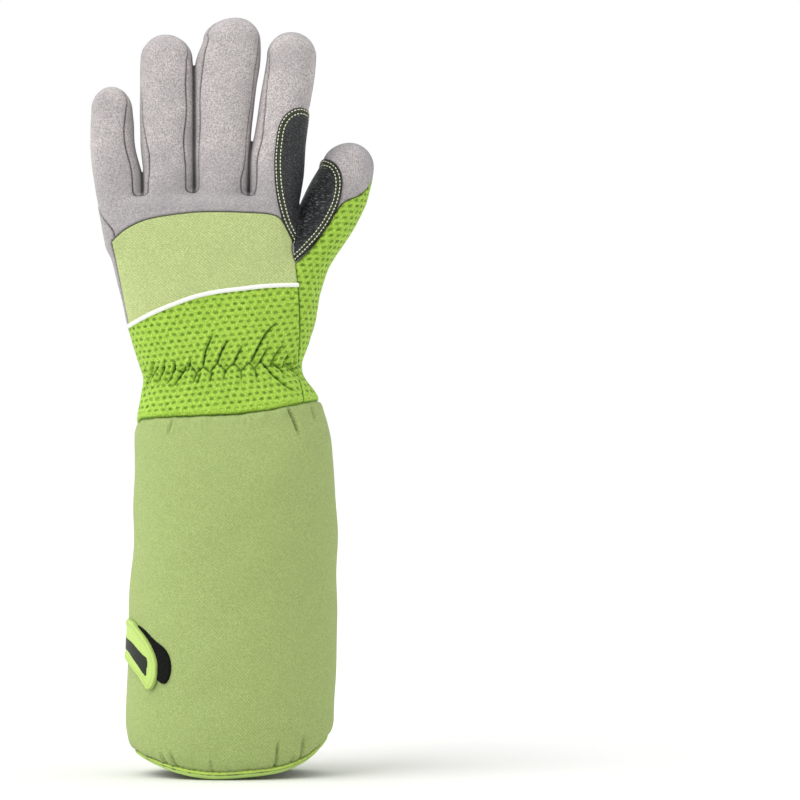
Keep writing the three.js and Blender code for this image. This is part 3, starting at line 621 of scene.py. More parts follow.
class Skin:
    """Triangles over the glove's form, with a label on each face."""

    def __init__(self, points, faces, labels=None, field=hand_field):
        self.points = points
        self.faces = faces
        self.labels = np.zeros(len(faces), int) if labels is None else labels
        self.field = field

    def copy(self):
        return Skin(self.points.copy(), self.faces.copy(), self.labels.copy(), self.field)

    def edges(self):
        """Unique edges, and the three edges of each face."""
        pairs = np.sort(self.faces[:, [[0, 1], [1, 2], [2, 0]]].reshape(-1, 2), axis=1).astype(np.int64)
        keys, inverse = np.unique(pairs[:, 0] * len(self.points) + pairs[:, 1], return_inverse=True)
        unique = np.stack([keys // len(self.points), keys % len(self.points)], axis=1)
        return unique, inverse.reshape(-1, 3)

    def divide(self, edge_ids, new_points, face_edges):
        """Splits faces at new points on some of their edges."""
        number = np.full(face_edges.max() + 1, -1)
        number[edge_ids] = len(self.points) + np.arange(len(edge_ids))
        points = np.vstack([self.points, new_points])
        marks = number[face_edges]
        found = (marks >= 0).sum(axis=1)
        faces, labels = [self.faces[found == 0]], [self.labels[found == 0]]
        for count in (1, 2, 3):
            chosen = found == count
            v, m = self.faces[chosen], marks[chosen]
            turn = np.argmax(m < 0 if count == 2 else m >= 0, axis=1)
            order = (turn[:, None] + np.arange(3)) % 3
            # The corners, and the new points between the first two, the last two, and the last and first
            (a, b, c), (i, j, k) = (np.take_along_axis(one, order, axis=1).T for one in (v, m))
            if count == 1:
                made = [(a, i, c), (i, b, c)]
            elif count == 2:
                across = np.linalg.norm(points[a] - points[j], axis=1)
                short = across < np.linalg.norm(points[b] - points[k], axis=1)
                made = [(j, c, k), (a, b, np.where(short, j, k)), (np.where(short, a, b), j, k)]
            else:
                made = [(a, i, k), (i, b, j), (k, j, c), (i, j, k)]
            for one in made:
                faces.append(np.stack(one, axis=1))
                labels.append(self.labels[chosen])
        self.points = points
        self.faces = np.vstack(faces)
        self.labels = np.concatenate(labels)

    def cut(self, border, old, new, snap=0.2):
        """Gives the faces with the old label on the border's positive side the new label."""
        used = self.labels == old
        active = np.zeros(len(self.points), bool)
        active[self.faces[used].ravel()] = True
        value = np.full(len(self.points), np.nan)
        value[active] = border(self.points[active])
        edges, face_edges = self.edges()
        of_used = np.zeros(len(edges), bool)
        of_used[face_edges[used].ravel()] = True
        a, b = value[edges[:, 0]], value[edges[:, 1]]
        crossed = of_used & (a * b < 0)
        t = np.where(crossed, a / np.where(crossed, a - b, 1), 0.5)
        for near, end in ((crossed & (t < snap), 0), (crossed & (t > 1 - snap), 1)):
            ids = edges[near, end]
            first, second = self.points[edges[near, 0]], self.points[edges[near, 1]]
            places = first + t[near, None] * (second - first)
            free = value[ids] != 0
            self.points[ids[free]] = places[free]
            value[ids] = 0
        a, b = value[edges[:, 0]], value[edges[:, 1]]
        crossed = of_used & (a * b < 0)
        ids = np.flatnonzero(crossed)
        t = (a[ids] / (a[ids] - b[ids]))[:, None]
        new_points = self.points[edges[ids, 0]] * (1 - t) + self.points[edges[ids, 1]] * t
        before = len(self.points)
        self.divide(ids, new_points, face_edges)
        value = np.concatenate([value, np.zeros(len(self.points) - before)])
        total = np.nan_to_num(value[self.faces]).sum(axis=1)
        self.labels[(self.labels == old) & (total > 0)] = new

    def refine(self, length, rounds=3):
        """Halves the edges that are longer than wanted. length gives the wanted size at points."""
        for _ in range(rounds):
            edges, face_edges = self.edges()
            ends = self.points[edges]
            middle = ends.mean(axis=1)
            size = np.linalg.norm(ends[:, 0] - ends[:, 1], axis=1)
            wanted = length(middle)
            ids = np.flatnonzero(size > 1.4 * wanted)
            if not len(ids):
                return
            self.divide(ids, settle(middle[ids], self.field, 1), face_edges)

    def keep(self, chosen):
        """Keeps some faces, and the points that they use."""
        used, faces = np.unique(self.faces[chosen], return_inverse=True)
        return Skin(self.points[used], faces.reshape(-1, 3), self.labels[chosen], self.field), used

    def border(self):
        """Directed edges that only one face has."""
        directed = self.faces[:, [[0, 1], [1, 2], [2, 0]]].reshape(-1, 2).astype(np.int64)
        keys = directed.min(axis=1) * len(self.points) + directed.max(axis=1)
        _, inverse, counts = np.unique(keys, return_inverse=True, return_counts=True)
        return directed[counts[inverse] == 1]

    def seams(self):
        """Edges between faces with different labels."""
        edges, face_edges = self.edges()
        low = np.full(len(edges), 10 ** 6)
        high = np.full(len(edges), -1)
        for k in range(3):
            np.minimum.at(low, face_edges[:, k], self.labels)
            np.maximum.at(high, face_edges[:, k], self.labels)
        return edges[low != high]

    def relax(self, held, share=0.5):
        """Evens out the points along the surface, except those of the held edges."""
        free = np.ones(len(self.points), bool)
        free[held] = False
        edges, _ = self.edges()
        for _ in range(2):
            total = np.zeros_like(self.points)
            count = np.zeros(len(self.points))
            for a, b in ((0, 1), (1, 0)):
                np.add.at(total, edges[:, a], self.points[edges[:, b]])
                np.add.at(count, edges[:, a], 1)
            target = total / np.maximum(count, 1)[:, None]
            self.points[free] += share * (target[free] - self.points[free])
            self.points[free] = settle(self.points[free], self.field, 1)


def distance_to_edges(points, edges, far=12, spacing=0.2):
    """Distance from points to the nearest place on some edges, no more than far."""
    starts, ends = edges[:, 0], edges[:, 1]
    steps = max(1, int(np.ceil(np.linalg.norm(ends - starts, axis=1).max() / spacing)))
    places = np.vstack([*(starts + (ends - starts) * (k / steps) for k in range(steps)), ends])
    tree = KDTree(len(places))
    for i, place in enumerate(places):
        tree.insert(place, i)
    tree.balance()
    near = within(points, places.min(axis=0) - far, places.max(axis=0) + far)
    distance = np.full(len(points), float(far))
    distance[near] = [min(far, tree.find(p)[2]) for p in points[near]]
    return distance


# Meshes, walls and pieces

# Edges sharper than this show as edges, in degrees
SHARP_ANGLE = 55


def placed(name, data):
    """A new object in the scene."""
    made = bpy.data.objects.new(name, data)
    bpy.context.scene.collection.objects.link(made)
    return made


def make_piece(name, points, faces, material, slot=None, cloth=None, marks=None, crisp=True):
    """A piece of the glove. With a slot, it stands for the solid of its name.

    cloth is each point's place on the flat cloth, and marks are values that the material reads by name. Both
    are given for the outer side of a wall, and its inner side repeats them."""
    mesh = bpy.data.meshes.new("glove_" + name)
    mesh.from_pydata((points * MM).tolist(), [], [tuple(face) for face in faces])
    for mark, values in (marks or {}).items():
        layer = mesh.attributes.new(mark, "FLOAT", "POINT")
        layer.data.foreach_set("value", np.resize(values, len(points)).astype(np.float32))
    if cloth is not None:
        corner = np.empty(len(mesh.loops), np.int32)
        mesh.loops.foreach_get("vertex_index", corner)
        places = np.resize(cloth, (len(points), 2))[corner]
        mesh.uv_layers.new(name=WEAVE_MAP).data.foreach_set("uv", places.astype(np.float32).ravel())
    mesh.materials.append(material)
    mesh.shade_smooth()
    if crisp:
        mesh.set_sharp_from_angle(angle=math.radians(SHARP_ANGLE))
        mesh.validate()
    piece = placed("glove_" + name, mesh)
    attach(piece, "root")
    if slot:
        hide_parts(name)
    return piece


def walled(points, faces, border, inner):
    """Closes a sheet with an inner copy of it and a rim."""
    count = len(points)
    a, b = border[:, 0], border[:, 1]
    rim = np.vstack([np.stack([b, a, a + count], axis=1), np.stack([b, a + count, b + count], axis=1)])
    return np.vstack([points, inner]), np.vstack([faces, faces[:, ::-1] + count, rim])


# Regions of the hand, each positive inside

def knuckle_region(p):
    outline = np.vstack([smooth_line(KNUCKLE_TOP), smooth_line(PIPING_LINE)[1:]])
    return np.minimum(inside_distance(flat(p), outline), -2 - p[:, 1])


def wrapped(p, back, palm, low, high):
    """Turns from an outline on the back to one on the palm side as the surface comes round."""
    share = ease(low, high, p[:, 1])
    return (1 - share) * inside_distance(flat(p), back) + share * inside_distance(flat(p), palm)


def thumb_mesh_region(p):
    back = np.vstack([smooth_line(THUMB_MESH_TOP), [(FAR, 99), (FAR, -60), (46, -60)],
                      smooth_line(WRIST_SIDE_SEAM)[::-1]])
    palm = np.vstack([smooth_line(THUMB_MESH_PALM), [(20, -60), (FAR, -60), (FAR, 108)]])
    return wrapped(p, back, palm, 0, 18)


def thumb_suede_region(p):
    back = np.vstack([[(38.5, 83), (60, 125), (95, 125), (95, 99)], smooth_line(THUMB_MESH_TOP)[::-1],
                      [(37, 62)]])
    palm = np.vstack([smooth_line(THUMB_FOLD), smooth_line(THUMB_MESH_PALM)[::-1][1:], [(95, 125)]])
    return wrapped(p, back, palm, 0, 18)


def wrist_mesh_region(p):
    back = np.vstack([smooth_line(PIPING_LINE), [(-80, 23), (-80, -60), (46, -60)],
                      smooth_line(WRIST_SIDE_SEAM)[::-1]])
    palm = smooth_line([(-38.5, -60), (-39, -30), (-40.5, -18), (-43, -10), (-50, -2), (-80, 14)])
    palm = np.vstack([palm, [(-80, -60)]])
    return wrapped(p, back, palm, -6, 8)


def back_suede_region(p):
    share = ease(94, 70, p[:, 2])
    # The seam comes round to the palm below the little finger, and stays behind the finger's middle above.
    wrap = 11 * share * (p[:, 0] < -20) - 3 * (1 - share) * ease(-50, -60, p[:, 0])
    top = smooth_line(KNUCKLE_TOP)
    outline = np.vstack([[(-75, 61)], top,
                         [(41, 70), (50, 90), (62, 125), (62, FAR), (-90, FAR), (-90, 61)]])
    return np.minimum(inside_distance(flat(p), outline), curl_at(p[:, 2]) - wrap - p[:, 1])


def strip_region(name):
    strip = STRIPS[name]
    left, right = strip["between"]

    def middle_of(finger, z):
        a, b, _, _ = FINGER_SECTIONS[finger].at(z)
        top = FINGERS[finger]["rows"][-1][0]
        share = np.clip((z - top) / (FINGERS[finger]["tip"][1] - top), 0, 1)
        size = np.sqrt(1 - share ** 2)
        return (a + b) / 2 * size + FINGERS[finger]["tip"][0] * (1 - size)

    def region(p):
        x, z = p[:, 0], p[:, 2]
        low, high = middle_of(left, z), middle_of(right, z)
        widths = [np.interp(z, *np.array(edge).T) for edge in strip["edges"]]
        share = ease(0.35, 0.65, (x - low) / (high - low))
        width = widths[0] * (1 - share) + widths[1] * share
        side = np.abs(p[:, 1] - curl_at(z))
        return np.minimum.reduce([width - side, x - low, high - x, z - strip["bottom"]])

    return region


# Panels in the order in which they are cut. The palm's leather is what remains.
CUTS = {
    **{name: strip_region(name) for name in STRIPS}, "thumb_mesh": thumb_mesh_region,
    "thumb_suede": thumb_suede_region, "knuckle_panel": knuckle_region, "wrist_mesh": wrist_mesh_region,
    "back_suede": back_suede_region,
}
PANELS = ["palm_suede", *CUTS]
TRIMMED = 99
# The box that the whole hand fits in, down to well inside the cuff
HAND_BOX = (-74, -36, -46), (86, 36, 192)
# What one step leaves for the next: the bare skin, its shaped panels, and two shared materials
MADE = {}


def base_skin(step):
    """The whole hand without its seams."""
    points, quads = surface_nets(hand_field, *HAND_BOX, step)
    skin = Skin(settle(points), triangles_of(quads))
    skin.relax(skin.border())
    return skin


def seam_height(p):
    """Height of the seam between hand and cuff."""
    back, palm = (np.interp(p[..., 0], *np.array(line, float).T) for line in (SEAM_BACK, SEAM_PALM))
    return back + (palm - back) * ease(-16, 16, p[..., 1])


def sleeve_seam(p):
    """Height above that seam."""
    return p[:, 2] - seam_height(p)


def creased(points, creases, width, side=None):
    """How far folds push a surface in, with a lip beside each, and how much shade is painted on each point
    in a fold.
    """
    shift, fold = np.zeros(len(points)), np.zeros(len(points))
    for line, *_, depth in (crease for crease in creases if side in (None, crease[1])):
        line = smooth_line(line, spacing=1.5)
        chosen = within(flat(points), line.min(axis=0) - 6, line.max(axis=0) + 6)
        if side is not None:
            chosen &= np.sign(points[:, 1]) == side
        if not chosen.any():
            continue
        where = flat(points[chosen])
        distance, number, place = segment_distance(where, line[:-1], line[1:])
        # A crease starts at once and dies away over its last part.
        along = (number + place) / (len(line) - 1)
        fade = ease(-0.04, 0.08, along) * ease(1.03, 0.6, along)
        run = line[1:] - line[:-1]
        gap = where - line[number]
        turn = np.sign(run[number, 0] * gap[:, 1] - run[number, 1] * gap[:, 0])
        lip = bell(distance * turn - LIP_PLACE * width, LIP_WIDTH * width)
        shift[chosen] += fade * depth * (LIP_HEIGHT * lip - bell(distance, width))
        inner = fade * np.minimum(depth / DARK_DEPTH, 1) * bell(distance, CREASE_SHADE * width)
        fold[chosen] = np.maximum(fold[chosen], inner)
    return shift, fold


def turned_in(distance, width, depth):
    """A rounded edge that goes down to a seam."""
    share = 1 - np.clip(distance / width, 0, 1)
    return -depth * (1 - np.sqrt(np.maximum(1 - share ** 2, 0)))


def round_u(points, sections=HAND_SECTIONS, level=20, roundness=HAND_ROUNDNESS, steps=400):
    """Distance round a tube from the middle of its back, towards +X, in millimetres."""
    left, right, back, palm = [float(v[0]) for v in sections.at(np.array([level]))]
    angle = np.linspace(-math.pi, math.pi, steps)
    c, s = np.cos(angle), np.sin(angle)
    x = (right - left) / 2 * np.sign(s) * np.abs(s) ** (2 / roundness)
    y = -(palm - back) / 2 * np.sign(c) * np.abs(c) ** (2 / roundness)
    length = np.concatenate([[0], np.cumsum(np.hypot(np.diff(x), np.diff(y)))])
    length -= np.interp(0, angle, length)
    left, right, back, palm = sections.at(points[:, 2])
    dx = 2 * (points[:, 0] - (left + right) / 2) / (right - left)
    dy = 2 * (points[:, 1] - (back + palm) / 2) / (palm - back)
    power = roundness / 2
    at = np.arctan2(np.sign(dx) * np.abs(dx) ** power, -np.sign(dy) * np.abs(dy) ** power)
    return np.interp(at, angle, length)


# Pits of the knitted mesh: how far apart, how large in the cloth and in its colour, and the rows' slant
PIT_APART, PIT_SIZE, PIT_COLOUR, MESH_SLANT = (4.0, 3.1), (1.1, 0.75), (1.2, 0.8), 0.11
PIT_DEPTH = 0.5


def dimples(cloth):
    """1 in the middle of each small pit of the knitted mesh, 0 between them."""
    wide, high = PIT_APART
    row = cloth[:, 1] / high
    number = np.floor(row)
    across = cloth[:, 0] / wide + 0.5 * (number % 2)
    dx = (across - np.floor(across) - 0.5) * wide
    dy = (row - number - 0.5) * high
    return np.exp(-((dx / PIT_SIZE[0]) ** 2 + (dy / PIT_SIZE[1]) ** 2))


# Where the way round the thumb is measured, and how far its rows of pits are moved to meet the wrist's
THUMB_LEVEL, THUMB_ROWS = 53, 36


def cloth_of(name, points):
    """Where each point lies on the flat cloth, in millimetres."""
    across, up = round_u(points), points[:, 2]
    if name == "thumb_mesh":
        around = round_u(points, THUMB_SECTIONS, THUMB_LEVEL, FINGER_ROUNDNESS) + THUMB_ROWS
        share = ease(20, 45, up)
        across = across * (1 - share) + around * share
    if name == "wrist_mesh":
        up = up - MESH_SLANT * across + ripples(points, seed=4, height=0.08, lengths=CLOTH_WAVES)
    if name in ("thumb_mesh", "wrist_mesh"):
        across = across + ripples(points, seed=3, height=0.1, lengths=CLOTH_WAVES)
    return np.stack([across, up], axis=1)


def refine_panels(skin, step, fine):
    """Makes faces smaller along seams, in the knitted mesh, and where cloth is gathered or fingers meet."""
    edges = np.vstack([skin.seams(), skin.border()])
    skin.relax(edges, share=0.35)
    seams = skin.points[edges]
    gathers = [np.array(line, float) for line in (*(line for line, _ in GATHERS), ELASTIC_LINE)]

    def wanted(p):
        near = distance_to_edges(p, seams, far=6, spacing=0.6)
        in_mesh = (p[:, 2] < 100) & ((wrist_mesh_region(p) > 0) | (thumb_mesh_region(p) > 0))
        size = np.where(in_mesh, fine * 1.15, fine + (step - fine) * ease(1.6, 4, near))
        wrist = within(p, *GATHER_BOX)
        close = np.full(int(wrist.sum()), float(FAR))
        for line in gathers:
            close = np.minimum(close, segment_distance(flat(p[wrist]), line[:-1], line[1:])[0])
        size[wrist] = np.where(close < 1.3, GATHER_STEP, size[wrist])
        for name in STRIPS:
            size[meeting(p, name, 1.15 * MEETING) > 0] = GATHER_STEP
        return size

    skin.refine(wanted)


def gathered(points):
    """How far the elastic's zigzag and its gathers push the wrist's cloth, and how much shade is painted in
    them.
    """
    pushed, fold_shade = creased(points, GATHERS, GATHER_WIDTH)
    zigzag = np.array(ELASTIC_LINE, float)
    distance, _, _ = segment_distance(flat(points), zigzag[:-1], zigzag[1:])
    # The zigzag is clear in the middle and fades towards the little finger's side.
    even = ease(-32, -16, points[:, 0])
    pushed -= ELASTIC_DEPTH * (0.35 + 0.65 * even) * bell(distance, 0.6)
    fold_shade = np.maximum(fold_shade, (0.15 + 0.75 * even) * bell(distance, 0.38))
    # Between gathers 7.6 mm apart the cloth swells a little.
    waves = np.sin(points[:, 0] * 2 * math.pi / 7.6 + 1.2)
    pushed += 0.5 * waves * bell(points[:, 2] - 1.5, 7)
    calmer = (0.6 + 0.4 * ease(-42, -24, points[:, 0])) * ease(-1, -10, points[:, 1])
    return pushed * calmer, 0.8 * fold_shade * calmer


def points_in(skin, *names):
    """Numbers of the points of some panels."""
    return np.unique(skin.faces[np.isin(skin.labels, [PANELS.index(name) for name in names])])


def hand_panels(step, fine, seam_depth):
    """Cuts the hand's skin along its seams, draws the seams in, and adds folds and dimples."""
    skin = MADE["base"].copy()
    skin.cut(lambda p: -TUCK - sleeve_seam(p), 0, TRIMMED)
    for name, region in CUTS.items():
        skin.cut(region, 0, PANELS.index(name))
    skin, _ = skin.keep(skin.labels != TRIMMED)
    refine_panels(skin, step, fine)
    points = skin.points
    normals = normals_of(points)
    near = distance_to_edges(points, points[skin.seams()], far=6)
    above = sleeve_seam(points)
    shift = turned_in(near, SEAM_TURN, seam_depth) + turned_in(np.maximum(above, 0), *SLEEVE_TURN)
    shift -= 0.5 * np.maximum(-above, 0)
    # Painted shade along the seams and above the sleeve seam
    fold = SEAM_SHADE * bell(np.minimum(near, np.maximum(above, 0)), SEAM_SHADE_WIDTH)
    wrist = within(points, *WRIST_BOX)
    thumb_root = within(points, *THUMB_ROOT_BOX)
    for chosen, (pushed, fold_shade) in (
            (wrist, gathered(points[wrist])),
            (thumb_root, creased(points[thumb_root], PALM_CREASES, PALM_CREASE_WIDTH))):
        shift[chosen] += pushed
        fold[chosen] = np.maximum(fold[chosen], fold_shade)
    # Painted shade on the side strips, deeper where the next finger is close, and a painted dark line where
    # two fingers meet
    strips = points_in(skin, *STRIPS)
    beyond = hand_field(points[strips] + SHADE_REACH * normals[strips]) / SHADE_REACH
    fold[strips] = np.maximum(fold[strips], STRIP_SHADE + STRIP_DEEP * ease(0.85, 0.1, beyond))
    for name in STRIPS:
        chosen = points_in(skin, name)
        fold[chosen] = np.maximum(fold[chosen], 1.1 * meeting(points[chosen], name, MEETING))
    for name in ("wrist_mesh", "thumb_mesh"):
        chosen = points_in(skin, name)
        calm = ease(0.6, 1.6, near[chosen]) * ease(1.8, 3.4, above[chosen])
        shift[chosen] -= PIT_DEPTH * calm * dimples(cloth_of(name, points[chosen]))
    # The suede sinks a little further than the caps that lie on it.
    capped = np.maximum.reduce([cap_region(name)(points) for name in CAP_LINES])
    shift -= (CAP_SUNK + 0.2) * ease(-0.1, 0.9, capped)
    # Less painted shade at the knuckle panel's pale edge
    fold[within(points, *PALE_EDGE_BOX)] *= 0.4
    MADE["panels"] = skin, points + normals * shift[:, None], normals, fold, ease(3.6, 2.2, above)


def build_panel(name, material, slot):
    """One panel of the hand with its wall. Its marked band is the plain strip above the sleeve seam."""
    skin, shaped, normals, fold, by_sleeve = MADE["panels"]
    part, used = skin.keep(skin.labels == PANELS.index(name))
    if name != "palm_suede":
        part, used = biggest(part, used)
    inner = shaped[used] - normals[used] * LEATHER
    cloth = cloth_of(name, skin.points[used])
    whole, faces = walled(shaped[used], part.faces, part.border(), inner)
    marks = {FOLD_SHADE_MARK: fold[used], BAND_MARK: by_sleeve[used]}
    make_piece(name, whole, faces, material, slot, cloth, marks)


def biggest(part, used):
    """The largest connected run of faces."""
    group = np.arange(len(part.points))
    edges, _ = part.edges()
    while True:
        low = np.minimum(group[edges[:, 0]], group[edges[:, 1]])
        after = group.copy()
        np.minimum.at(after, edges[:, 0], low)
        np.minimum.at(after, edges[:, 1], low)
        after = after[after]
        if np.array_equal(after, group):
            break
        group = after
    names, counts = np.unique(group[part.faces[:, 0]], return_counts=True)
    kept = group[part.faces[:, 0]] == names[np.argmax(counts)]
    smaller, again = part.keep(kept)
    return smaller, used[again]


# Sewn-on leather

def contour(part, distance, level):
    """Chains of places where the distance to the edge is the level, each with its two vertices and share."""
    value = np.where(distance == level, 1e-6, distance - level)
    edges, face_edges = part.edges()
    a, b = value[edges[:, 0]], value[edges[:, 1]]
    crossed = a * b < 0
    share = np.where(crossed, a / np.where(crossed, a - b, 1), 0)
    links = {}
    for row in face_edges:
        hits = [e for e in row if crossed[e]]
        if len(hits) == 2:
            links.setdefault(hits[0], []).append(hits[1])
            links.setdefault(hits[1], []).append(hits[0])
    chains, seen = [], set()
    starts = sorted(links, key=lambda e: (len(links[e]), e))
    for start in starts:
        if start in seen:
            continue
        chain, at = [start], start
        seen.add(start)
        while True:
            ahead = [e for e in links[at] if e not in seen]
            if not ahead:
                break
            at = ahead[0]
            seen.add(at)
            chain.append(at)
        if len(links[start]) == 2 and start in links[at]:
            chain.append(start)
        chains.append(chain)
    return [(edges[chain], share[chain]) for chain in map(np.array, chains) if len(chain) > 4]


# A stitch's section, and how thick it is along its length, both as shares of its size
STITCH_RING = [(-1, 0), (-0.6, 0.85), (0.6, 0.85), (1, 0), (0.6, -0.7), (-0.6, -0.7)]
STITCH_STATIONS = [(-1, 0.25), (-0.72, 0.85), (0, 1.0), (0.72, 0.85), (1, 0.25)]
# How far its middle stands out, and how much lower its ends are, in thicknesses of the thread
STITCH_LIFT, STITCH_DROP = 0.12, 0.3


def ring_quads(stations, ring):
    """Four-sided faces between rings of points."""
    first, place = np.meshgrid(np.arange(stations - 1) * ring, np.arange(ring), indexing="ij")
    a, b = (first + place).ravel(), (first + (place + 1) % ring).ravel()
    return np.stack([a, b, b + ring, a + ring], axis=1)


def stitch_meshes(runs, pitch, length, thick):
    """Small rounded stitches along runs of points with their directions out of the leather."""
    ring = len(STITCH_RING)
    last = (len(STITCH_STATIONS) - 1) * ring
    ends = [face for i in range(1, ring - 1) for face in ((0, i + 1, i), (last, last + i, last + i + 1))]
    one = np.vstack([triangles_of(ring_quads(len(STITCH_STATIONS), ring)), ends])
    points, faces = [], []
    for line, out in runs:
        size = lengths_along(line)
        count = int(size[-1] / pitch)
        for k in range(count):
            middle = (k + 0.5) * size[-1] / count
            wanted = (line, 0), (line, length / 2), (line, -length / 2), (out, 0)
            centre, ahead, behind, up = (
                np.array([np.interp(middle + shift, size, column) for column in values.T])
                for values, shift in wanted)
            run = unit(ahead - behind)
            across = unit(np.cross(up, run))
            up = np.cross(run, across)
            faces.append(one + len(points))
            for place, fat in STITCH_STATIONS:
                lift = (STITCH_LIFT - STITCH_DROP * place ** 2) * thick
                half = thick * fat / 2
                points += [centre + run * (place * length / 2) + across * (x * half) + up * (lift + y * half)
                           for x, y in STITCH_RING]
    return np.array(points), np.vstack(faces)


def every_edge(points):
    return np.ones(len(points), bool)


# How far from its edge a patch is measured, how its rim dips, how far in it swells to its full crown, how
# far its underside lies in the skin, and how dark and wide its rim's shade is
MEASURED, RIM_DIP, CROWN_REACH, BURIED, RIM_SHADE, RIM_SHADE_WIDTH = 16, 0.25, 9, 0.35, 0.8, 0.4
# The groove along a row of stitches, and how softly the band between two rows begins
GROOVE, GROOVE_WIDTH, BAND_SOFT = 0.3, 0.5, 0.3
# Rows closer than this are sewn with thicker thread, so that they show
CLOSE_PITCH, THICKER = 2.2, 1.2


def overlay(name, region, box, thickness, edge, crown, rows, material, sizes, pitch, sunk=0.0,
            stitched_edge=every_edge):
    """A patch cut from a copy of the skin, raised, with rounded edges and rows of stitches."""
    base = MADE["base"]
    part, _ = base.keep(within(base.points[base.faces].mean(axis=1), *box))
    part.cut(region, 0, 1)
    part, _ = part.keep(part.labels == 1)
    part, _ = biggest(part, np.arange(len(part.points)))
    part.relax(part.border(), share=0.4)
    outline = part.points[part.border()]

    def wanted(p):
        inside = distance_to_edges(p, outline, MEASURED)
        return np.where(inside < rows[-1] + 1.2, sizes.fine_step, PLAIN_STEP)

    part.refine(wanted, rounds=2)
    points, rim = part.points, part.border()
    normals = normals_of(points)
    outline = points[rim]
    distance = distance_to_edges(points, outline, MEASURED)
    from_edge = distance_to_edges(points, outline[stitched_edge(outline.mean(axis=1))], MEASURED)
    share = 1 - np.clip(distance / edge, 0, 1)
    height = thickness * np.sqrt(np.maximum(1 - share ** 2, 0)) - RIM_DIP * share ** 4 - sunk
    height += crown * ease(0, CROWN_REACH, distance)
    for row in rows:
        height -= GROOVE * bell(from_edge - row, GROOVE_WIDTH)
    first, second = rows
    height -= 0.5 * GROOVE * ((from_edge > first) & (from_edge < second))
    shaped = points + normals * height[:, None]
    whole, faces = walled(shaped, part.faces, rim, points - normals * (BURIED + sunk))
    band = ease(first - BAND_SOFT, first + BAND_SOFT, from_edge)
    band *= ease(second + BAND_SOFT, second - BAND_SOFT, from_edge)
    marks = {BAND_MARK: band, FOLD_SHADE_MARK: RIM_SHADE * bell(distance, RIM_SHADE_WIDTH)}
    piece = make_piece(name, whole, faces, material, "grained_leather", flat(points), marks)
    runs = []
    for row in rows:
        for pair, at in contour(part, from_edge, row):
            at = at[:, None]
            runs.append([evened(ends[pair[:, 0]] * (1 - at) + ends[pair[:, 1]] * at)
                         for ends in (shaped, normals)])
    thread = sizes.thread * (THICKER if pitch < CLOSE_PITCH else 1)
    stitched, stitch_faces = stitch_meshes(runs, pitch, pitch * sizes.stitch_share, thread)
    make_piece("stitches_" + name, stitched, stitch_faces, MADE["thread"])
    return piece


def evened(run):
    """Smooths a run of points, keeping its ends."""
    for _ in range(3):
        run[1:-1] = (run[:-2] + 2 * run[1:-1] + run[2:]) / 4
    return run


def past_crotch(p):
    """How far a point lies on the thumb's side of the line where the patches meet."""
    return p[:, 0] - np.interp(p[:, 2], *np.array(CROTCH_LINE, float).T)


def index_patch_region(p):
    outline = wrapped(p, smooth_line(INDEX_PATCH_BACK, True), smooth_line(INDEX_PATCH_PALM, True), -2, 10)
    return np.minimum(outline, 0.5 - past_crotch(p))


def thumb_patch_region(p):
    outline = wrapped(p, smooth_line(THUMB_PATCH_BACK, True), smooth_line(THUMB_PATCH_PALM, True), 4, 18)
    return np.minimum(outline, past_crotch(p))


def on_palm(points):
    outline = smooth_line(points, True)
    return lambda p: inside_distance(flat(p), outline)


def palm_pad_region(p):
    return np.minimum(on_palm(PALM_PAD)(p), -0.3 - on_palm(THENAR_PAD)(p))


def above_cap_line(name, p):
    """Height above a cap's lower edge."""
    (x0, z0), (x1, z1) = CAP_LINES[name]
    return p[:, 2] - (z0 + (p[:, 0] - x0) * (z1 - z0) / (x1 - x0))


def cap_region(name):
    low, high = sorted(end[0] for end in CAP_LINES[name])

    def region(p):
        beside = [0.1 - strip_region(strip)(p) for strip in STRIPS if name in STRIPS[strip]["between"]]
        beside += [p[:, 0] - low + CAP_BESIDE, high + CAP_BESIDE - p[:, 0]]
        return np.minimum.reduce([above_cap_line(name, p), p[:, 1] - curl_at(p[:, 2]) - CAP_BACK, *beside])

    return region


def lower_edge_of(name):
    return lambda p: above_cap_line(name, p) < 0.5


def away_from_crotch(points):
    return np.abs(past_crotch(points)) > 0.9


# Swept and gridded pieces

def lay_cord(name, path, out, radius, flatten, ring, material, slot):
    """A soft cord along a path, with the directions out of the surface."""
    across = unit(np.cross(out, unit(np.gradient(path, axis=0))))
    angle = np.linspace(0, 2 * math.pi, ring, endpoint=False)
    wide, high = radius * np.cos(angle)[:, None], radius * flatten * np.sin(angle)[:, None]
    points = (path[:, None] + wide * across[:, None] + high * out[:, None]).reshape(-1, 3)
    ends = list(reversed(range(ring))), list(range(len(points) - ring, len(points)))
    cloth = np.stack([np.repeat(lengths_along(path), ring), np.tile(angle * radius, len(path))], axis=1)
    faces = [*ring_quads(len(path), ring).tolist(), *ends]
    make_piece(name, points, faces, material, slot, cloth, crisp=False)


def back_surface(x, z):
    """Points of the hand's back under a line seen from the back."""
    depths = np.arange(-36, 4, 0.5)
    count = len(x)
    grid = np.stack([np.repeat(x, len(depths)), np.tile(depths, count), np.repeat(z, len(depths))], axis=1)
    value = hand_field(grid).reshape(count, -1)
    first = np.argmax(value < 0, axis=1)
    rows = np.arange(count)
    a, b = value[rows, first - 1], value[rows, first]
    y = depths[first - 1] + 0.5 * a / (a - b)
    return settle(np.stack([x, y, z], axis=1), rounds=2)


def cuff_point(angle, z, offset=0.0):
    """Point of the cuff at an angle from its little-finger side towards the back."""
    left, right, back, palm = CUFF_SECTIONS.at(z)
    hx, hy = (right - left) / 2 + offset, (palm - back) / 2 + offset
    c, s = np.cos(angle), np.sin(angle)
    power = 2 / CUFF_ROUNDNESS
    x = (left + right) / 2 - hx * np.sign(c) * np.abs(c) ** power
    y = (back + palm) / 2 - hy * np.sign(s) * np.abs(s) ** power
    return np.stack([x, y, z + 0 * x], axis=-1)


def cuff_depth(z):
    _, _, back, palm = CUFF_SECTIONS.at(z)
    return (palm - back) / 2


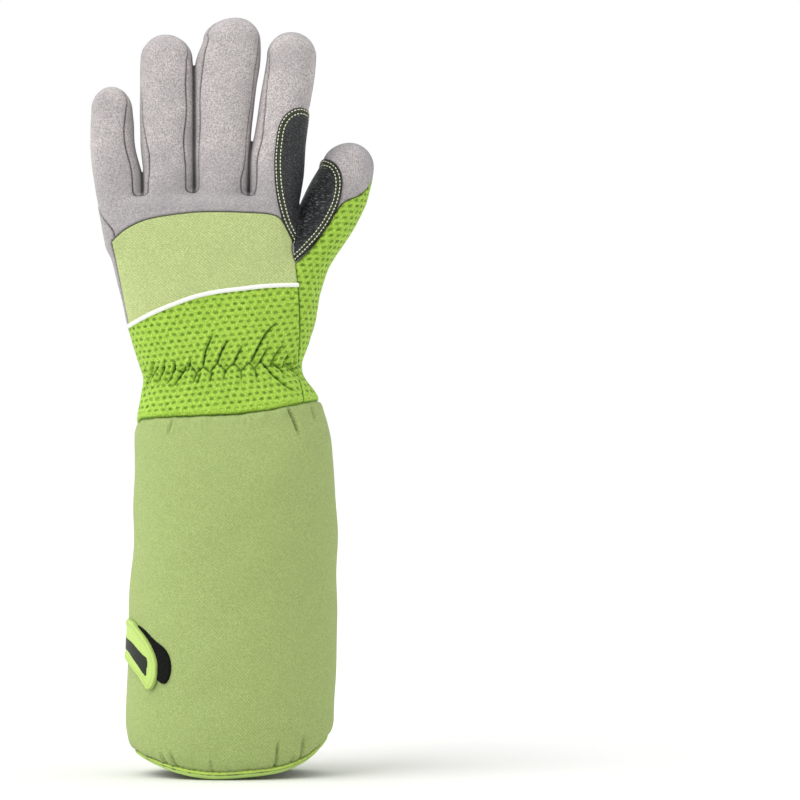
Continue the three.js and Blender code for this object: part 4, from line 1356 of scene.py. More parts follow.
def grid_normals(grid):
    """Outward directions of a grid of points whose columns run round and whose rows run up."""
    across = np.gradient(grid, axis=1)
    up = np.gradient(grid, axis=0)
    return unit(np.cross(across, up))


def grid_faces(rows, columns):
    a = (np.arange(rows - 1)[:, None] * columns + np.arange(columns - 1)).ravel()
    return np.stack([a, a + 1, a + columns + 1, a + columns], axis=1)


def closed_grid(outer, inner):
    """Two grids of the same size joined along all their edges."""
    rows, columns = outer.shape[:2]
    count = rows * columns
    number = np.arange(count).reshape(rows, columns)
    loop = np.concatenate([number[0, :-1], number[:-1, -1], number[-1, :0:-1], number[:0:-1, 0]])
    after = np.roll(loop, -1)
    rim = np.stack([after, loop, loop + count, after + count], axis=1)
    faces = grid_faces(rows, columns)
    points = np.vstack([outer.reshape(-1, 3), inner.reshape(-1, 3)])
    return points, np.vstack([faces, faces[:, ::-1] + count, rim])


def hem_height(x):
    across = x - HEM_CENTRE
    along = np.minimum(1, np.abs(across) / HEM_REACH)
    return HEM_SIDE + HEM_TILT * across - HEM_DIP * (1 - np.where(across > 0, along ** 4.4, along ** 2))


def hem_taper(x):
    """How much narrower the tape looks towards the sides, where it turns under."""
    taper = np.where(x < HEM_CENTRE, *HEM_TAPER)
    return 1 - taper * np.minimum(1, np.abs(x - HEM_CENTRE) / HEM_REACH) ** 4


# Heights from which the search for the cuff's lower and upper edge starts
CUFF_LOW, CUFF_HIGH = -200.0, -24.0
# How wide and how deep the cuff's cloth turns in at the sleeve seam, at its side seam and at the hem
CUFF_TURNS = (3.4, 2.2), (1.6, 1.1), (7, 2.8)
# How many columns beside the slit make way for it, and how wide the cuff's creases are
SLIT_COLUMNS, CUFF_CREASE_WIDTH = 6.0, 0.85


def cuff_grid(columns, rows):
    """Angles and heights of the cuff, from its side seam once round."""
    turn = np.linspace(0, 2 * math.pi, columns)
    angle = np.tile(turn, (rows, 1))
    low, high = np.full(columns, CUFF_LOW), np.full(columns, CUFF_HIGH)
    for _ in range(6):
        start = SLIT_S / cuff_depth(low)
        x = cuff_point(turn + start, low, -HEM_IN)[:, 0]
        low = hem_height(x) + HEM_LAP * hem_taper(x)
        start = SLIT_S / cuff_depth(high)
        high = seam_height(cuff_point(turn + start, high))
    dense, wide = rows // 5, rows - 2 * (rows // 5)
    share = np.concatenate([
        np.linspace(0, 0.08, dense, endpoint=False), np.linspace(0.08, 0.92, wide, endpoint=False),
        np.linspace(0.92, 1, dense)])[:, None]
    z = low + (high - low) * share
    return angle + SLIT_S / cuff_depth(z), z


def build_cuff(material, columns=451, rows=74):
    """The padded cuff, parted at its slit, with its seams, creases and pleats."""
    angle, z = cuff_grid(columns, rows)
    along_slit = (z - (SLIT_TOP + SLIT_BOTTOM) / 2) / ((SLIT_TOP - SLIT_BOTTOM) / 2)
    lens = np.sqrt(np.clip(1 - along_slit ** 2, 0, 1))
    near_start = bell(np.arange(columns), SLIT_COLUMNS)
    parting = SLIT_WIDTH / 2 * lens / cuff_depth(z)
    angle = angle + parting * near_start - parting * near_start[::-1]
    base = cuff_point(angle, z)
    normal = grid_normals(base)
    arc = lengths_along(base)
    points = base.reshape(-1, 3)
    from_top = -sleeve_seam(points).reshape(rows, columns)
    from_side = np.minimum(arc, arc[:, -1:] - arc)
    inset = cuff_point(angle, z, -HEM_IN)[..., 0]
    from_hem = z - hem_height(inset) - HEM_TAPE * hem_taper(inset)
    shift = sum(turned_in(away, *turn) for away, turn in zip((from_top, from_side, from_hem), CUFF_TURNS))
    shift = shift.ravel() + ripples(points, 21, 0.13, PADDING_WAVES)
    # Painted shade: dark lines at the seams, and above the hem one that each stitch pulls in
    stitch = 0.5 + 0.5 * np.cos(np.linspace(0, 2 * math.pi, columns) * HEM_STITCHES)
    by_hem = (0.5 + 0.5 * stitch) * bell(np.maximum(from_hem, 0), 0.55)
    fold = np.maximum(0.85 * bell(np.minimum(from_top, from_side), 0.6), by_hem).ravel()
    for side in (-1, 1):
        pushed, fold_shade = creased(points, CUFF_CREASES, CUFF_CREASE_WIDTH, side)
        shift += pushed
        fold = np.maximum(fold, 0.6 * fold_shade)
    pleated = bell(from_top.ravel(), 7) + 0.7 * bell(from_hem.ravel(), 6)
    shift += 0.35 * pleated * ripples(points * [1, 1, 0.15], 5, 0.45, PLEAT_WAVES)
    outer = base + normal * shift.reshape(rows, columns)[..., None]
    whole, faces = closed_grid(outer, outer - normal * PADDING)
    cloth = np.stack([np.tile(arc[rows // 2], rows), z.ravel()], axis=1)
    piece = make_piece("gauntlet", whole, faces, material, "quilted_canvas", cloth, {FOLD_SHADE_MARK: fold})


# The hem's folded tape: how far out and how high its section runs outside, with a groove for the stitches
HEM_OUTSIDE = [
    (-1.8, -0.1), (-0.2, 0.05), (0.5, 0.45), (0.85, 1.05), (0.8, 1.65), (0.4, 2.0), (0.25, 2.12),
    (0.45, 2.25), (0.95, 2.65), (1.05, 3.15), (0.75, 3.65), (0.1, 3.95), (-0.9, 4.05),
]


def build_hem(material, columns=480):
    """Folded tape round the cuff's lower edge, with the dents of its stitches."""
    turn = np.linspace(0, 2 * math.pi, columns, endpoint=False)
    z = np.full(columns, CUFF_LOW)
    for _ in range(6):
        x = cuff_point(turn, z, -HEM_IN)[:, 0]
        z = hem_height(x)
    wall = PADDING + 0.3
    inside = [(0.6, 4.1), (0, 3.8), (-0.35, 2.6), (-0.3, 1.0), (0.6, 0.15)]
    profile = [*((out - wall, height) for out, height in inside), *HEM_OUTSIDE]
    stitch = 0.5 + 0.5 * np.cos(turn * HEM_STITCHES)
    grid, fold, band = [], [], []
    for offset, height in profile:
        level = z + height * hem_taper(x)
        ring = cuff_point(turn, level)
        outward = cuff_point(turn, level, 1.0) - ring
        top = height > 3.6 and offset > 0
        groove = 2 < height < 2.2 and offset > 0
        reach = offset - HEM_IN - 0.25 * stitch * top + ripples(ring, 3, 0.03, CLOTH_WAVES)
        grid.append(ring + outward * reach[:, None])
        # Painted shade in the stitches' dents along the top fold and in the groove
        fold.append(0.35 * stitch * top + 0.8 * groove)
        band.append(np.full(columns, float(height > 2.2)))
    number = np.arange(len(profile) * columns).reshape(-1, columns)
    above = np.roll(number, -1, axis=0)
    faces = np.stack([number, above, np.roll(above, -1, axis=1), np.roll(number, -1, axis=1)], axis=-1)
    heights = np.repeat([height for _, height in profile], columns)
    cloth = np.stack([np.tile(lengths_along(grid[8]), len(profile)), heights], axis=1)
    marks = {FOLD_SHADE_MARK: np.concatenate(fold), BAND_MARK: np.concatenate(band)}
    faces = faces.reshape(-1, 4)
    make_piece("hem_binding", np.vstack(grid), faces, material, "binding_tape", cloth, marks)


def sheet_skin(outline, step):
    """Triangles over a flat closed outline."""
    low, high = outline.min(axis=0) - 2 * step, outline.max(axis=0) + 2 * step
    xs, ys = np.arange(low[0], high[0], step), np.arange(low[1], high[1], step)
    grid = np.stack(np.meshgrid(xs, ys, indexing="ij"), axis=-1).reshape(-1, 2)
    triangles = triangles_of(grid_faces(len(xs), len(ys)))[:, ::-1]
    skin = Skin(np.column_stack([grid, np.zeros(len(grid))]), triangles, field=lambda p: p[:, 2])
    skin.cut(lambda p: inside_distance(p[:, :2], outline), 0, 1)
    skin, _ = skin.keep(skin.labels == 1)
    return skin


def build_strap_piece(name, outline, step, lift, thickness, edge, material, slot, ridge=0.0,
                      ridge_width=0.0):
    """A flat piece bent round the cuff's side, with rounded edges and perhaps a bound rim."""
    skin = sheet_skin(outline, step)
    points, rim = skin.points, skin.border()
    distance = distance_to_edges(points, points[rim], far=20)
    share = 1 - np.clip(distance / edge, 0, 1)
    height = lift + thickness * np.sqrt(np.maximum(1 - share ** 2, 0))
    # Painted shade along the rim and beside the bound edge
    fold = 0.6 * bell(distance, 0.35)
    if ridge:
        height -= ridge * ease(ridge_width - 0.5, ridge_width + 0.3, distance)
        fold = np.maximum(fold, 0.35 * bell(distance - 0.6 * ridge_width, 0.3))
    s, z = points[:, 0], points[:, 1]
    sunk = STRAP_SINK * ease(*STRAP_RISE, s)
    angle = s / cuff_depth(z)
    outer, inner = cuff_point(angle, z, height - sunk), cuff_point(angle, z, lift - 0.4 - sunk)
    whole, faces = walled(outer, skin.faces, rim, inner)
    make_piece(name, whole, faces, material, slot, points[:, :2], {FOLD_SHADE_MARK: fold, BAND_MARK: STRAP_BAND})


# Materials

SHADER = "Principled BSDF"
MATH, NOISE, RANGE, MIX = "ShaderNodeMath", "ShaderNodeTexNoise", "ShaderNodeMapRange", "ShaderNodeMix"


def add(tree, kind, inputs=None, out=0, **settings):
    """Adds a node with its settings, sets or links its inputs, and gives one of its outputs."""
    node = tree.nodes.new(kind)
    for name, value in settings.items():
        setattr(node, name, value)
    for name, value in (inputs or {}).items():
        socket = node.inputs[name]
        if isinstance(value, bpy.types.NodeSocket):
            tree.links.new(value, socket)
        elif socket.type == "RGBA":
            socket.default_value = (*value, 1.0)
        else:
            socket.default_value = value
    return node.outputs[out]


def new_material(name, roughness, specular=0.5, sheen=0.0, sheen_roughness=0.5):
    material = bpy.data.materials.new(name)
    material.use_nodes = True
    tree = material.node_tree
    for socket, value in (("Roughness", roughness), ("IOR", 1.5), ("Sheen Weight", sheen),
                          ("Sheen Roughness", sheen_roughness), ("Specular IOR Level", specular)):
        tree.nodes[SHADER].inputs[socket].default_value = value
    return material, tree


def object_mm(tree):
    """Coordinates of the object itself, in millimetres."""
    place = add(tree, "ShaderNodeTexCoord", out="Object")
    return add(tree, "ShaderNodeVectorMath", {0: place, "Scale": 1 / MM}, operation="SCALE")


def cloth_mm(tree):
    """Places along and up the flat cloth, in millimetres."""
    place = add(tree, "ShaderNodeUVMap", uv_map=WEAVE_MAP)
    return [add(tree, "ShaderNodeSeparateXYZ", {0: place}, axis) for axis in "XY"]


def complete(material, tone, layers):
    """Gives a material its colour, and stacks bumps whose heights are in millimetres."""
    tree = material.node_tree
    tree.links.new(tone, tree.nodes[SHADER].inputs["Base Color"])
    inputs = {"Strength": 1.0}
    for height, depth in layers:
        inputs.update({"Height": height, "Distance": depth * MM})
        inputs["Normal"] = normal = add(tree, "ShaderNodeBump", inputs)
    tree.links.new(normal, tree.nodes[SHADER].inputs["Normal"])
    return material


def darker(colour, share):
    return tuple(c * share for c in colour)


def blended(tree, tone, other, pattern, low, high, most=1.0):
    """Blends another colour into one as a pattern runs from low to high."""
    share = add(tree, RANGE, {"Value": pattern, "From Min": low, "From Max": high, "To Max": most})
    return add(tree, MIX, {"Factor": share, 6: tone, 7: other}, 2, data_type="RGBA")


def waves(tree, place, length):
    """Waves along a place, from -1 to 1."""
    turns = add(tree, MATH, {0: place, 1: 2 * math.pi / length}, operation="MULTIPLY")
    return add(tree, MATH, {0: turns}, operation="SINE")


def in_folds(tree, tone, share=0.72, shade_tint=(0.2, 0.2, 0.2)):
    """Paints shade into a colour in seams and folds."""
    fold = add(tree, "ShaderNodeAttribute", out="Fac", attribute_name=FOLD_SHADE_MARK)
    amount = add(tree, MATH, {0: fold, 1: share}, operation="MULTIPLY")
    dark = add(tree, MIX, {"Factor": 1.0, 6: tone, 7: shade_tint}, 2, data_type="RGBA", blend_type="MULTIPLY")
    return add(tree, MIX, {"Factor": amount, 6: tone, 7: dark}, 2, data_type="RGBA")


def split_leather_brushed(name, colour, shade):
    """Split leather, sueded by brushing: a short nap that lies in patches, so it looks softly mottled."""
    material, tree = new_material(name, 0.95, sheen=0.18, sheen_roughness=0.6, specular=0.25)
    place = object_mm(tree)
    # The nap is finer than this. It is drawn coarser so that it shows.
    patches, mottle, nap = (
        add(tree, NOISE, {"Vector": place, "Scale": 1 / size, "Detail": detail, "Roughness": rough})
        for size, detail, rough in ((16, 3.0, 0.55), (2.6, 3.0, 0.6), (0.75, 2.0, 0.8)))
    tone = blended(tree, colour, shade, patches, 0.35, 0.65)
    # Painted shade: the hand's leather is made darker below the fingers than on them.
    height = add(tree, "ShaderNodeSeparateXYZ", {0: place}, "Z")
    tone = blended(tree, tone, linear(HAND_SHADE), height, *HAND_SHADE_HEIGHTS, HAND_SHADED)
    tone = blended(tree, tone, darker(shade, 0.82), mottle, 0.34, 0.66, 0.25)
    tone = blended(tree, tone, darker(shade, 0.52), nap, 0.4, 0.6, 0.85)
    # Painted shade: the palm's side is made darker and cooler
    depth = add(tree, "ShaderNodeSeparateXYZ", {0: place}, "Y")
    palm = add(tree, RANGE, {"Value": depth, "From Min": 1.0, "From Max": 12.0})
    tone = add(tree, MIX, {"Factor": palm, 6: tone, 7: PALM_SHADE}, 2, data_type="RGBA",
               blend_type="MULTIPLY")
    return complete(material, in_folds(tree, tone, 0.85), [(mottle, 0.25), (nap, 0.3)])


def leather_embossed(name, colour, light, stretched=False):
    """Corrected-grain leather, pressed with a pebble pattern and half matt."""
    material, tree = new_material(name, 0.46)
    place = object_mm(tree)
    if stretched:
        place = add(tree, "ShaderNodeMapping", {"Vector": place, "Scale": (0.45, 0.45, 1.25)})
    warp = add(tree, NOISE, {"Vector": place, "Scale": 0.9, "Detail": 2.0}, "Color")
    bent = add(tree, "ShaderNodeVectorMath", {0: warp, 1: (0.5, 0.5, 0.5)}, operation="SUBTRACT")
    bent = add(tree, "ShaderNodeVectorMath", {0: bent, "Scale": 1.1}, operation="SCALE")
    bent = add(tree, "ShaderNodeVectorMath", {0: place, 1: bent}, operation="ADD")
    # Real pebbles are about 0.8 mm. They are drawn coarser so that they show.
    pebbles = add(tree, "ShaderNodeTexVoronoi", {"Vector": bent, "Scale": 1 / 1.35, "Randomness": 0.9},
                  feature="DISTANCE_TO_EDGE")
    height = add(tree, RANGE, {"Value": pebbles, "From Max": 0.3})
    pores = add(tree, NOISE, {"Vector": place, "Scale": 1 / 0.4, "Detail": 2.0})
    highlight_noise = add(tree, NOISE, {"Vector": place, "Scale": 1 / (1.6 if stretched else 0.8), "Detail": 2.0})
    # The grain is darker between the pebbles, and painted highlight lies on their tops.
    tone = add(tree, MIX, {"Factor": height, 6: darker(colour, 0.4), 7: colour}, 2, data_type="RGBA")
    most = 0.85 if stretched else 0.7
    tops = add(tree, RANGE, {"Value": highlight_noise, "From Min": 0.38, "From Max": 0.64, "To Max": most})
    tops = add(tree, MATH, {0: tops, 1: height}, operation="MULTIPLY")
    tone = add(tree, MIX, {"Factor": tops, 6: tone, 7: light}, 2, data_type="RGBA")
    band = add(tree, "ShaderNodeAttribute", out="Fac", attribute_name=BAND_MARK)
    amount = add(tree, MATH, {0: band, 1: STITCH_BAND_SHARE}, operation="MULTIPLY")
    tone = add(tree, MIX, {"Factor": amount, 6: tone, 7: linear(STITCH_BAND)}, 2, data_type="RGBA")
    handled = add(tree, NOISE, {"Vector": place, "Scale": 1 / 5, "Detail": 2.0})
    gloss = add(tree, RANGE,
                {"Value": handled, "From Min": 0.3, "From Max": 0.7, "To Min": 0.32, "To Max": 0.46})
    tree.links.new(gloss, tree.nodes[SHADER].inputs["Roughness"])
    return complete(material, in_folds(tree, tone), [(height, 0.75 if stretched else 0.5), (pores, 0.1)])


def cotton_twill_woven(name, colour, shade, spacing, depth):
    """Woven cotton twill: fine slanted ridges, cross threads and slubs, quite matt."""
    material, tree = new_material(name, 0.9, sheen=0.08, specular=0.2)
    across, up = cloth_mm(tree)
    # At 45 degrees, both places share the ridges' spacing.
    slope = 2 * math.pi * math.cos(math.radians(45)) / spacing
    across = add(tree, MATH, {0: across, 1: slope}, operation="MULTIPLY")
    slanted = add(tree, MATH, {0: up, 1: slope, 2: across}, operation="MULTIPLY_ADD")
    ridges = add(tree, MATH, {0: slanted}, operation="SINE")
    threads = waves(tree, up, spacing * 0.8)
    place = object_mm(tree)
    slubs = add(tree, NOISE, {"Vector": place, "Scale": 1 / 0.9, "Detail": 2.0, "Roughness": 0.7})
    clouds = add(tree, NOISE, {"Vector": place, "Scale": 1 / 7, "Detail": 3.0})
    tone = blended(tree, colour, shade, ridges, 1.0, -1.0, 0.85)
    tone = blended(tree, tone, darker(shade, 0.84), slubs, 0.4, 0.62, 0.75)
    tone = blended(tree, tone, shade, clouds, 0.35, 0.65, 0.3)
    layers = [(ridges, depth * 0.5), (threads, depth * 0.3), (slubs, depth * 1.5)]
    return complete(material, in_folds(tree, tone), layers)


def spacer_mesh_knitted(colour, light, pit):
    """Knitted spacer mesh: bright yarn with staggered pits that fall into shade."""
    material, tree = new_material("spacer_mesh_knitted", 0.8, sheen=0.1, specular=0.25)
    across, up = cloth_mm(tree)
    row = add(tree, MATH, {0: up, 1: PIT_APART[1]}, operation="DIVIDE")
    number = add(tree, MATH, {0: row}, operation="FLOOR")
    odd = add(tree, MATH, {0: number, 1: 2.0}, operation="FLOORED_MODULO")
    column = add(tree, MATH, {0: across, 1: PIT_APART[0]}, operation="DIVIDE")
    column = add(tree, MATH, {0: odd, 1: 0.5, 2: column}, operation="MULTIPLY_ADD")
    away = []
    for place, pitch, reach in zip((column, row), PIT_APART, PIT_COLOUR):
        share = add(tree, MATH, {0: place}, operation="FRACT")
        share = add(tree, MATH, {0: share, 1: 0.5}, operation="SUBTRACT")
        share = add(tree, MATH, {0: share, 1: pitch / reach}, operation="MULTIPLY")
        away.append(add(tree, MATH, {0: share, 1: share}, operation="MULTIPLY"))
    away = add(tree, MATH, {0: away[0], 1: away[1]}, operation="ADD")
    pits = add(tree, RANGE, {"Value": away, "From Min": 0.3, "From Max": 1.5, "To Min": 1.0, "To Max": 0.0})
    place = object_mm(tree)
    yarn = add(tree, NOISE, {"Vector": place, "Scale": 1 / 0.9, "Detail": 2.0, "Roughness": 0.6})
    uneven = add(tree, NOISE, {"Vector": place, "Scale": 1 / 3, "Detail": 2.0})
    loops = waves(tree, across, 0.82)
    tone = blended(tree, light, colour, yarn, 0.34, 0.66)
    tone = blended(tree, tone, colour, loops, -1.0, 1.0, 0.25)
    amount = add(tree, RANGE,
                 {"Value": uneven, "From Min": 0.3, "From Max": 0.7, "To Min": 0.45, "To Max": 1.0})
    amount = add(tree, MATH, {0: pits, 1: amount}, operation="MULTIPLY")
    plain = add(tree, "ShaderNodeAttribute", out="Fac", attribute_name=BAND_MARK)
    plain = add(tree, MATH, {0: 1.0, 1: plain}, operation="SUBTRACT")
    amount = add(tree, MATH, {0: amount, 1: plain}, operation="MULTIPLY")
    tone = add(tree, MIX, {"Factor": amount, 6: tone, 7: pit}, 2, data_type="RGBA")
    tone = in_folds(tree, tone, 0.85, (0.2, 0.3, 0.08))
    raised = add(tree, MATH, {0: 1.0, 1: pits}, operation="SUBTRACT")
    return complete(material, tone, [(loops, 0.06), (yarn, 0.12), (raised, 0.35)])


def tape_woven(name, colour, bright, rib, shade=1.0):
    """Folded woven tape: close ribs across it and a slight gloss. Its marked band is brighter."""
    material, tree = new_material(name, 0.62, sheen=0.08, specular=0.4)
    across, _ = cloth_mm(tree)
    ribs = waves(tree, across, rib)
    uneven = add(tree, NOISE, {"Vector": object_mm(tree), "Scale": 1 / 2.5, "Detail": 2.0})
    band = add(tree, "ShaderNodeAttribute", out="Fac", attribute_name=BAND_MARK)
    tone = add(tree, MIX, {"Factor": band, 6: colour, 7: bright}, 2, data_type="RGBA")
    tone = blended(tree, tone, darker(colour, 0.7), ribs, 1.0, -1.0, 0.3 * shade)
    tone = blended(tree, tone, darker(colour, 0.85), uneven, 0.3, 0.7, 0.25 * shade)
    return complete(material, in_folds(tree, tone), [(ribs, 0.06), (uneven, 0.1)])


def pile(name, colour, light, size, depth, roughness):
    """Hook or loop pile: a dense field of tiny dark loops with a few lighter ones."""
    material, tree = new_material(name, roughness, specular=0.25)
    place = object_mm(tree)
    cells = add(tree, "ShaderNodeTexVoronoi", {"Vector": place, "Scale": 1 / size})
    raised = add(tree, MATH, {0: 1.0, 1: cells}, operation="SUBTRACT")
    return complete(material, blended(tree, colour, light, cells, 0.4, 0.05, 0.6), [(raised, depth)])


def polyester_thread(colour):
    """Spun polyester thread: a soft twist and a little gloss."""
    material, tree = new_material("polyester_thread", 0.5, sheen=0.2)
    fibres = add(tree, NOISE, {"Vector": object_mm(tree), "Scale": 1 / 0.5, "Detail": 2.0})
    return complete(material, blended(tree, colour, darker(colour, 0.8), fibres, 0.3, 0.7), [(fibres, 0.04)])


def studio_paper(colour):
    """Matt studio paper for the floor, with a faint tooth."""
    material, tree = new_material("studio_paper", 0.9, specular=0.2)
    tooth = add(tree, NOISE, {"Vector": object_mm(tree), "Scale": 1 / 4, "Detail": 2.0})
    tone = blended(tree, colour, darker(colour, 0.985), tooth, 0.3, 0.7, 0.3)
    return complete(material, tone, [(tooth, 0.02)])


# Settings that a user would change

def size_setting(name, description, default, low, high):
    return bpy.props.FloatProperty(name=name, description=description, default=default, min=low, max=high)


def colour_setting(name, description, code):
    return bpy.props.FloatVectorProperty(
        name=name, description=description, default=linear(code), subtype="COLOR", min=0, max=1, size=3)


class GloveSizes(bpy.types.PropertyGroup):
    """Sizes of the sewing, in millimetres."""

    skin_step: size_setting("Skin step", "Size of the faces away from seams, mm", 1.25, 0.8, 3.0)
    fine_step: size_setting("Fine step", "Size of the faces at seams and patches, mm", 0.6, 0.4, 1.5)
    seam_depth: size_setting("Seam depth", "How far a seam is drawn in, mm", 1.25, 0.0, 2.5)
    pad_pitch: size_setting("Pad stitches", "One stitch to the next on the palm pads, mm", 2.5, 1.5, 5.0)
    patch_pitch: size_setting("Patch stitches", "The same on patches and caps, mm", 1.9, 1.2, 5.0)
    stitch_share: size_setting("Stitch share", "Part of the pitch that a stitch shows", 0.74, 0.3, 0.95)
    thread: size_setting("Thread", "Thickness of the thread, mm", 0.52, 0.3, 1.2)


class GloveColours(bpy.types.PropertyGroup):
    """Colours of the glove's leathers and cloths."""

    suede: colour_setting("Suede", "Lit nap of the sueded leather", "#dfd7d5")
    suede_shade: colour_setting("Suede shade", "Nap that lies the other way", "#c3bcbc")
    leather: colour_setting("Leather", "Embossed black leather", "#191a1c")
    # Painted highlight on the tops of the grain
    leather_highlight: colour_setting("Leather light", "Worn tops of its grain", "#64676c")
    twill: colour_setting("Twill", "Knuckle panel", "#d0e098")
    canvas: colour_setting("Canvas", "Cuff", "#b5c87e")
    mesh: colour_setting("Mesh", "Knitted mesh", "#8fba37")
    mesh_light: colour_setting("Mesh light", "Top loops of the mesh", "#c0e45c")
    mesh_pit: colour_setting("Mesh pit", "Pits of the mesh", "#567f18")
    tape: colour_setting("Tape", "Bindings", "#bad878")
    tape_bright: colour_setting("Bright tape", "Top fold of the hem binding, and the strap", "#d4f06c")
    thread: colour_setting("Thread", "Stitches on the black leather", "#eef0cc")
    piping: colour_setting("Piping", "Pale piping", "#fcfdf8")
    strap: colour_setting("Strap", "Dark middle of the strap", "#23281d")
    loops: colour_setting("Loop pile", "Patch that the strap grips", "#0a0c09")
    floor: colour_setting("Floor", "Studio paper", "#f4f4f2")


class GLOVE_OT_hand(bpy.types.Operator):
    """Sew the hand: sueded leather panels, side strips, knuckle panel and knitted mesh"""

    bl_idname = "glove.sew_hand"
    bl_label = "Sew the hand"

    def execute(self, context):
        sizes, colours = context.scene.glove_sizes, context.scene.glove_colours
        MADE["base"] = base_skin(sizes.skin_step)
        hand_panels(sizes.skin_step, sizes.fine_step, sizes.seam_depth)
        suede = split_leather_brushed("split_leather_brushed", colours.suede, colours.suede_shade)
        mesh = spacer_mesh_knitted(colours.mesh, colours.mesh_light, colours.mesh_pit)
        shade = darker(colours.twill, 0.7)
        knuckle = cotton_twill_woven("cotton_twill_woven", colours.twill, shade, 1.3, 0.1)
        for name in ("palm_suede", "back_suede", "thumb_suede", *STRIPS):
            build_panel(name, suede, "sueded_leather")
        for name in ("wrist_mesh", "thumb_mesh"):
            build_panel(name, mesh, "spacer_mesh")
        build_panel("knuckle_panel", knuckle, "cotton_twill")
        return {"FINISHED"}


class GLOVE_OT_patches(bpy.types.Operator):
    """Sew on the black leather: fingertip caps, side patches and the two palm pads"""

    bl_idname = "glove.sew_patches"
    bl_label = "Sew the patches"

    def execute(self, context):
        sizes, colours = context.scene.glove_sizes, context.scene.glove_colours
        leather, creased_leather = (
            leather_embossed(name, colours.leather, colours.leather_highlight, stretched)
            for name, stretched in (("leather_embossed", False), ("leather_embossed_creased", True)))
        MADE["thread"] = polyester_thread(colours.thread)
        for name, (right, left) in CAP_LINES.items():
            box = (left[0] - 6, -30, min(left[1], right[1]) - 4), (right[0] + 6, 40, 200)
            overlay("cap_" + name, cap_region(name), box, PATCH, 1.0, 0.2, (1.5, 3.5), leather, sizes,
                    sizes.patch_pitch, CAP_SUNK, lower_edge_of(name))
        overlay("index_side_patch", index_patch_region, ((22, -30, 50), (58, 40, 140)), PATCH, 0.9, 0.3,
                (1.1, 3.2), leather, sizes, sizes.patch_pitch, stitched_edge=away_from_crotch)
        overlay("thumb_patch", thumb_patch_region, ((30, -30, 48), (68, 40, 116)), PATCH + 0.3, 0.9, 0.3,
                (1.4, 3.3), creased_leather, sizes, sizes.patch_pitch, stitched_edge=away_from_crotch)
        for name, region, box, rows in (
                ("palm_pad", palm_pad_region, ((-60, 3, -12), (38, 40, 102)), (3.3, 6.0)),
                ("thenar_pad", on_palm(THENAR_PAD), ((-6, 3, 0), (36, 40, 72)), (3.3, 5.9))):
            pad = overlay(name, region, box, PAD, 2.2, 0.9, rows, leather, sizes, sizes.pad_pitch)
        return {"FINISHED"}


class GLOVE_OT_piping(bpy.types.Operator):
    """Lay the pale piping between the knuckle panel and the mesh"""

    bl_idname = "glove.lay_piping"
    bl_label = "Lay the piping"

    def execute(self, context):
        white = context.scene.glove_colours.piping
        cover = tape_woven("piping_covered", white, white, 0.8, 0.3)
        line = smooth_line(PIPING_LINE, spacing=0.7)
        path = back_surface(line[:, 0], line[:, 1])
        out = normals_of(path)
        lay_cord("piping", path + out * 0.05, out, 1.15, 0.85, 12, cover, "piping_cord")
        return {"FINISHED"}


class GLOVE_OT_cuff(bpy.types.Operator):
    """Sew the long padded cuff, its hem binding and the bound slit"""

    bl_idname = "glove.sew_cuff"
    bl_label = "Sew the cuff"

    def execute(self, context):
        colours = context.scene.glove_colours
        shade = darker(colours.canvas, 0.72)
        # The weave is finer than this. It is drawn coarser so that it shows.
        canvas = cotton_twill_woven("canvas_woven_quilted", colours.canvas, shade, 1.2, 0.08)
        MADE["tape"] = tape = tape_woven("binding_tape_folded", colours.tape, colours.tape_bright, 0.9)
        build_cuff(canvas)
        build_hem(tape)
        z = np.linspace(SLIT_TOP + 2, SLIT_BOTTOM - 4, 60)
        place = (SLIT_S - 1.6 + 0.9 * np.linspace(1, 0, 60)) / cuff_depth(z)
        path = cuff_point(place, z, 0.2)
        out = cuff_point(place, z, 1.2) - path
        lay_cord("slit_binding", path, out, 1.4, 0.6, 10, tape, "binding_tape")
        return {"FINISHED"}


class GLOVE_OT_strap(bpy.types.Operator):
    """Make the strap on the cuff's side, and the pile patch that it grips"""

    bl_idname = "glove.make_strap"
    bl_label = "Make the strap"

    def execute(self, context):
        colours = context.scene.glove_colours
        loops = pile("loop_pile_knitted", colours.loops, darker(colours.loops, 5), 1.1, 0.4, 0.95)
        centre = pile("hook_strip_woven", colours.strap, darker(colours.strap, 2.0), 0.7, 0.08, 0.45)
        build_strap_piece("loop_patch", smooth_line(LOOP_OUTLINE, True), 0.6, 0.1, 0.9, 0.6, loops,
                          "loop_pile")
        build_strap_piece("strap_tab", smooth_line(STRAP_OUTLINE, True), 0.5, 0.9, 1.5, 0.9, MADE["tape"],
                          "binding_tape", ridge=0.45, ridge_width=3.3)
        build_strap_piece("strap_centre", smooth_line(STRAP_CENTRE, True, 0.4), 0.5, 1.6, 0.5, 0.4,
                          centre, "webbing")
        return {"FINISHED"}


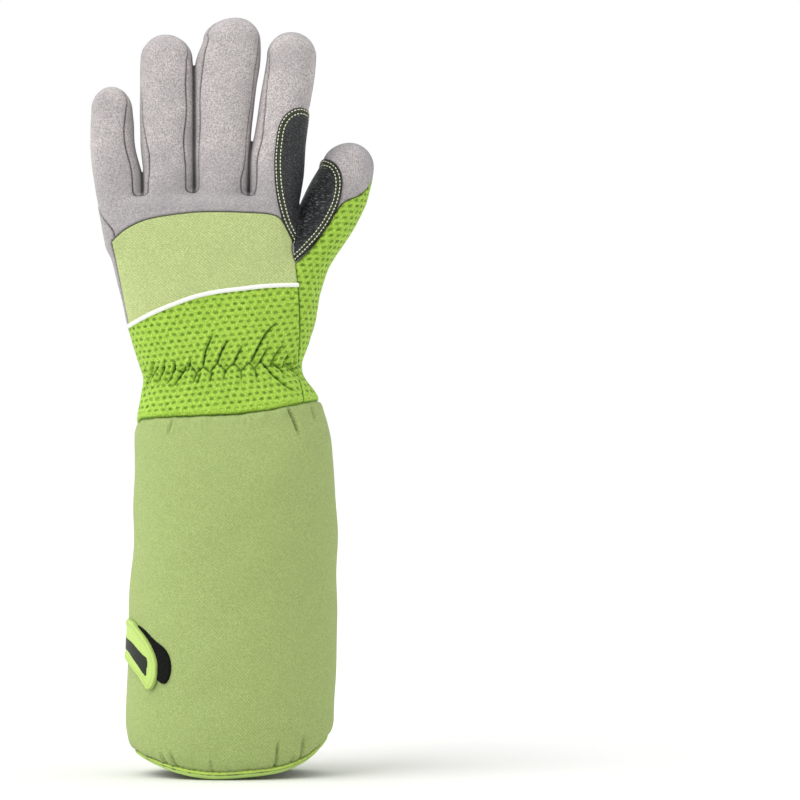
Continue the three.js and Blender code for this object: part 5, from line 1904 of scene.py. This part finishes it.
class GLOVE_OT_stage(bpy.types.Operator):
    """Set the floor, the lights and the camera"""

    bl_idname = "glove.set_stage"
    bl_label = "Set the stage"

    def execute(self, context):
        scene = context.scene
        lowest = min(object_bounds()[0].z, CAD_BOX[0][2])
        half = FLOOR_HALF
        mesh = bpy.data.meshes.new("floor")
        mesh.from_pydata([(-half, -half, 0), (half, -half, 0), (half, half, 0), (-half, half, 0)], [],
                         [(0, 1, 2, 3)])
        mesh.materials.append(studio_paper(scene.glove_colours.floor))
        floor = placed("floor", mesh)
        floor.location = (0, 0, lowest - FLOOR_GAP * MM)
        floor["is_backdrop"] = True
        world = bpy.data.worlds.new("studio")
        world.use_nodes = True
        sky = world.node_tree.nodes["Background"]
        sky.inputs["Color"].default_value = (1, 1, 1, 1)
        tree = world.node_tree
        way = add(tree, "ShaderNodeTexCoord", out="Generated")
        ahead = add(tree, "ShaderNodeSeparateXYZ", {0: way}, "Y")
        square = add(tree, MATH, {0: ahead, 1: ahead}, operation="MULTIPLY")
        glow = add(tree, RANGE, {"Value": square, "To Min": SIDE_GLOW, "To Max": DIM_GLOW})
        seen = add(tree, "ShaderNodeLightPath", out="Is Camera Ray")
        strength = add(tree, MATH, {0: glow, 1: seen}, operation="MAXIMUM")
        tree.links.new(strength, sky.inputs["Strength"])
        scene.world = world
        lamp = bpy.data.lights.new("key", "SUN")
        lamp.angle = math.radians(KEY_SPREAD)
        lamp.energy = KEY_STRENGTH
        light = placed("key", lamp)
        light.rotation_euler = (-Vector(KEY_FROM)).to_track_quat("-Z", "Y").to_euler()
        lens = bpy.data.cameras.new("camera")
        lens.sensor_width = SENSOR
        lens.lens = SENSOR * CAMERA_DISTANCE / PICTURE_WIDTH
        lens.clip_start = 0.05
        lens.clip_end = 50
        camera = placed("camera", lens)
        camera.location = (PICTURE_CENTRE[0] * MM, -CAMERA_DISTANCE * MM, PICTURE_CENTRE[1] * MM)
        camera.rotation_euler = (math.pi / 2, 0, 0)
        scene.camera = camera
        scene.view_settings.view_transform = "Standard"
        return {"FINISHED"}


class GLOVE_PT_panel(bpy.types.Panel):
    """Sizes, colours and steps of the glove"""

    bl_label = "Gardening glove"
    bl_idname = "GLOVE_PT_panel"
    bl_space_type = "VIEW_3D"
    bl_region_type = "UI"
    bl_category = "Glove"

    def draw(self, context):
        layout = self.layout
        for group in (context.scene.glove_sizes, context.scene.glove_colours):
            column = layout.column(align=True)
            for name in group.__annotations__:
                column.prop(group, name)
        for step in STEPS:
            layout.operator(step.bl_idname)


STEPS = (GLOVE_OT_hand, GLOVE_OT_patches, GLOVE_OT_piping, GLOVE_OT_cuff, GLOVE_OT_strap, GLOVE_OT_stage)
CLASSES = (GloveSizes, GloveColours, *STEPS, GLOVE_PT_panel)


def register():
    for one in CLASSES:
        bpy.utils.register_class(one)
    bpy.types.Scene.glove_sizes = bpy.props.PointerProperty(type=GloveSizes)
    bpy.types.Scene.glove_colours = bpy.props.PointerProperty(type=GloveColours)


def unregister():
    del bpy.types.Scene.glove_sizes
    del bpy.types.Scene.glove_colours
    for one in reversed(CLASSES):
        bpy.utils.unregister_class(one)


def main():
    register()
    bpy.ops.glove.sew_hand()
    bpy.ops.glove.sew_patches()
    bpy.ops.glove.lay_piping()
    bpy.ops.glove.sew_cuff()
    bpy.ops.glove.make_strap()
    bpy.ops.glove.set_stage()


if __name__ == "__main__":
    main()
